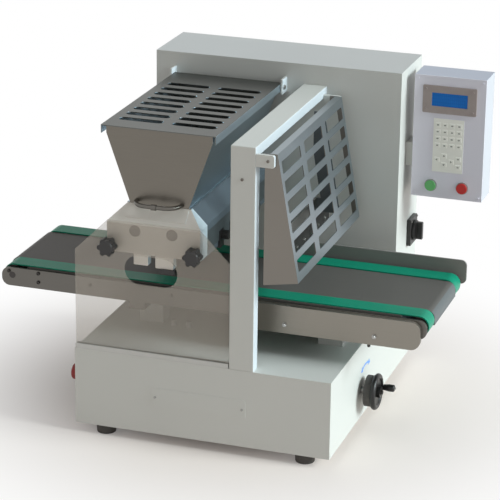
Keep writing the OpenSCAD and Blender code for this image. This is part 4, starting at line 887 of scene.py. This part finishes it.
def add_key_marks():
    """Plain printed marks on the keys: bars on the number block, pointers on the lower keys."""
    low, high = box_mm("keypad")
    centre = (low.x + high.x) / 2
    bar = round_outline(width=5.6, height=3.2, radius=1.2, steps=3)
    pointer = [(POINTER_RADIUS * math.cos(math.radians(a)), POINTER_RADIUS * math.sin(math.radians(a)))
               for a in POINTER_ANGLES]
    marks = bmesh.new()

    def print_mark(outline, column, row, turn=0.0):
        c, s = math.cos(turn), math.sin(turn)
        turned = [(x * c - y * s, x * s + y * c) for x, y in outline]
        x = centre + (column - (KEY_COLUMNS - 1) / 2) * KEY_PITCH
        z = high.z - KEY_TOP - row * KEY_ROW_PITCH
        mark = flat_mesh("mark", turned, KEY_MARK_THICKNESS, (x, low.y, z), RIGHT, UP)
        marks.from_mesh(mark)
        bpy.data.meshes.remove(mark)

    for column in range(KEY_COLUMNS):
        for row in range(KEY_ROWS):
            print_mark(bar, column, row)
    for column, row, turn in POINTER_KEYS:
        print_mark(pointer, column, row, math.radians(turn))
    for column, row in LOWER_KEYS:
        print_mark(bar, column, row)
    mesh = bpy.data.meshes.new("key_marks")
    marks.to_mesh(mesh)
    marks.free()
    add_piece("key_marks", mesh, KEY_INK, "machine")


finish_cad_nodes()
add_control_screws()
add_frame_screws()
add_machine_screws()
add_conveyor_screws()
add_handwheel_screws()
add_grips()
add_fins()
add_apron()
add_strips()
add_marks()
add_key_marks()


# Camera and studio

CAMERA_PLACE = (1.6541, -5.001, 2.2666)
CAMERA_TURN, CAMERA_LIFT, CAMERA_TILT = math.radians(18.36), math.radians(19.70), math.radians(0.69)
CAMERA_LENS, CAMERA_SENSOR, CAMERA_REACH = 162.8, 36, 40
FLOOR_REACH = 14
FLOOR_FADE_START, FLOOR_FADE_END = 0.2, 1.05
WHITE = (1.0, 1.0, 1.0, 1.0)
FILL_LEFT, FILL_RIGHT = (0.28, 0.275, 0.266, 1.0), (0.53, 0.6, 0.63, 1.0)
FILL_FROM, FILL_TO = -0.1, 0.9
KEY_ENERGY, KEY_WIDTH, KEY_COLOUR = 3.13, math.radians(24), (0.84, 0.975, 1.0)
KEY_WAY = Vector((-0.88, 0.0, -0.45))


def add_camera():
    turn, lift, tilt = CAMERA_TURN, CAMERA_LIFT, CAMERA_TILT
    back = Vector((math.sin(turn) * math.cos(lift), -math.cos(turn) * math.cos(lift), math.sin(lift)))
    right = Vector((math.cos(turn), math.sin(turn), 0))
    up = back.cross(right)
    right, up = right * math.cos(tilt) + up * math.sin(tilt), up * math.cos(tilt) - right * math.sin(tilt)
    camera = bpy.data.objects.new("camera", bpy.data.cameras.new("camera"))
    camera.data.lens = CAMERA_LENS
    camera.data.sensor_width = CAMERA_SENSOR
    camera.data.clip_end = CAMERA_REACH
    camera.matrix_world = Matrix.Translation(CAMERA_PLACE) @ Matrix((right, up, back)).transposed().to_4x4()
    bpy.context.scene.collection.objects.link(camera)
    bpy.context.scene.camera = camera


def seen_ray(tree):
    """One for what the camera sees, straight, mirrored or through a sheet; nothing for lighting rays."""
    path = tree.node("ShaderNodeLightPath", output="Is Camera Ray")
    mirrored = path.maths("MAXIMUM", path, path.other("Is Glossy Ray"))
    return path.maths("MAXIMUM", mirrored, path.other("Is Transmission Ray"))


def add_floor():
    """A pale floor that keeps the shadow and runs out into the white backdrop."""
    mesh = bpy.data.meshes.new("floor")
    corners = [(x * FLOOR_REACH, y * FLOOR_REACH, 0) for x, y in ((-1, -1), (1, -1), (1, 1), (-1, 1))]
    mesh.from_pydata(corners, [], [(0, 1, 2, 3)])
    floor = bpy.data.objects.new("floor", mesh)
    bpy.context.scene.collection.objects.link(floor)
    f = Finish("pale_floor")
    grain = f.noise(scale=3.0)
    pale = f.node("ShaderNodeBsdfDiffuse", None, {
        "Color": f.mix(grain, srgb(242, 228, 220), srgb(248, 234, 226))})
    white = f.node("ShaderNodeEmission", None, {"Color": WHITE, "Strength": 1.0})
    far = f.node("ShaderNodeVectorMath", {"operation": "LENGTH"}, {0: f.place}, output="Value")
    fade = f.node("ShaderNodeMapRange", {"interpolation_type": "SMOOTHSTEP"}, {
        "Value": far, "From Min": FLOOR_FADE_START, "From Max": FLOOR_FADE_END})
    f.node("ShaderNodeOutputMaterial", None, {
        "Surface": f.node("ShaderNodeMixShader", None, {0: fade * seen_ray(f), 1: pale, 2: white})})
    mesh.materials.append(f.material)


def add_light():
    """A fill that is brighter and cooler from the right, a white backdrop and one broad key light."""
    world = bpy.data.worlds.new("studio")
    bpy.context.scene.world = world
    world.use_nodes = True
    t = Tree(world.node_tree)
    way = t.node("ShaderNodeSeparateXYZ", None, {0: t.node("ShaderNodeTexCoord", output="Generated")})
    side = t.node("ShaderNodeMapRange", {"interpolation_type": "SMOOTHSTEP"}, {
        "Value": way, "From Min": FILL_FROM, "From Max": FILL_TO})
    tone = t.node("ShaderNodeMix", {"data_type": "RGBA"}, {0: side, 6: FILL_LEFT, 7: FILL_RIGHT}, output=2)
    fill = t.node("ShaderNodeBackground", None, {"Color": tone, "Strength": 1.0})
    white = t.node("ShaderNodeBackground", None, {"Color": WHITE, "Strength": 1.0})
    t.node("ShaderNodeOutputWorld", None, {
        "Surface": t.node("ShaderNodeMixShader", None, {0: seen_ray(t), 1: fill, 2: white})})
    key = bpy.data.objects.new("key_light", bpy.data.lights.new("key_light", "SUN"))
    key.data.energy = KEY_ENERGY
    key.data.angle = KEY_WIDTH
    key.data.color = KEY_COLOUR
    key.rotation_euler = KEY_WAY.to_track_quat("-Z", "Y").to_euler()
    bpy.context.scene.collection.objects.link(key)


add_camera()
add_floor()
add_light()
bpy.context.scene.view_settings.view_transform = "Standard"
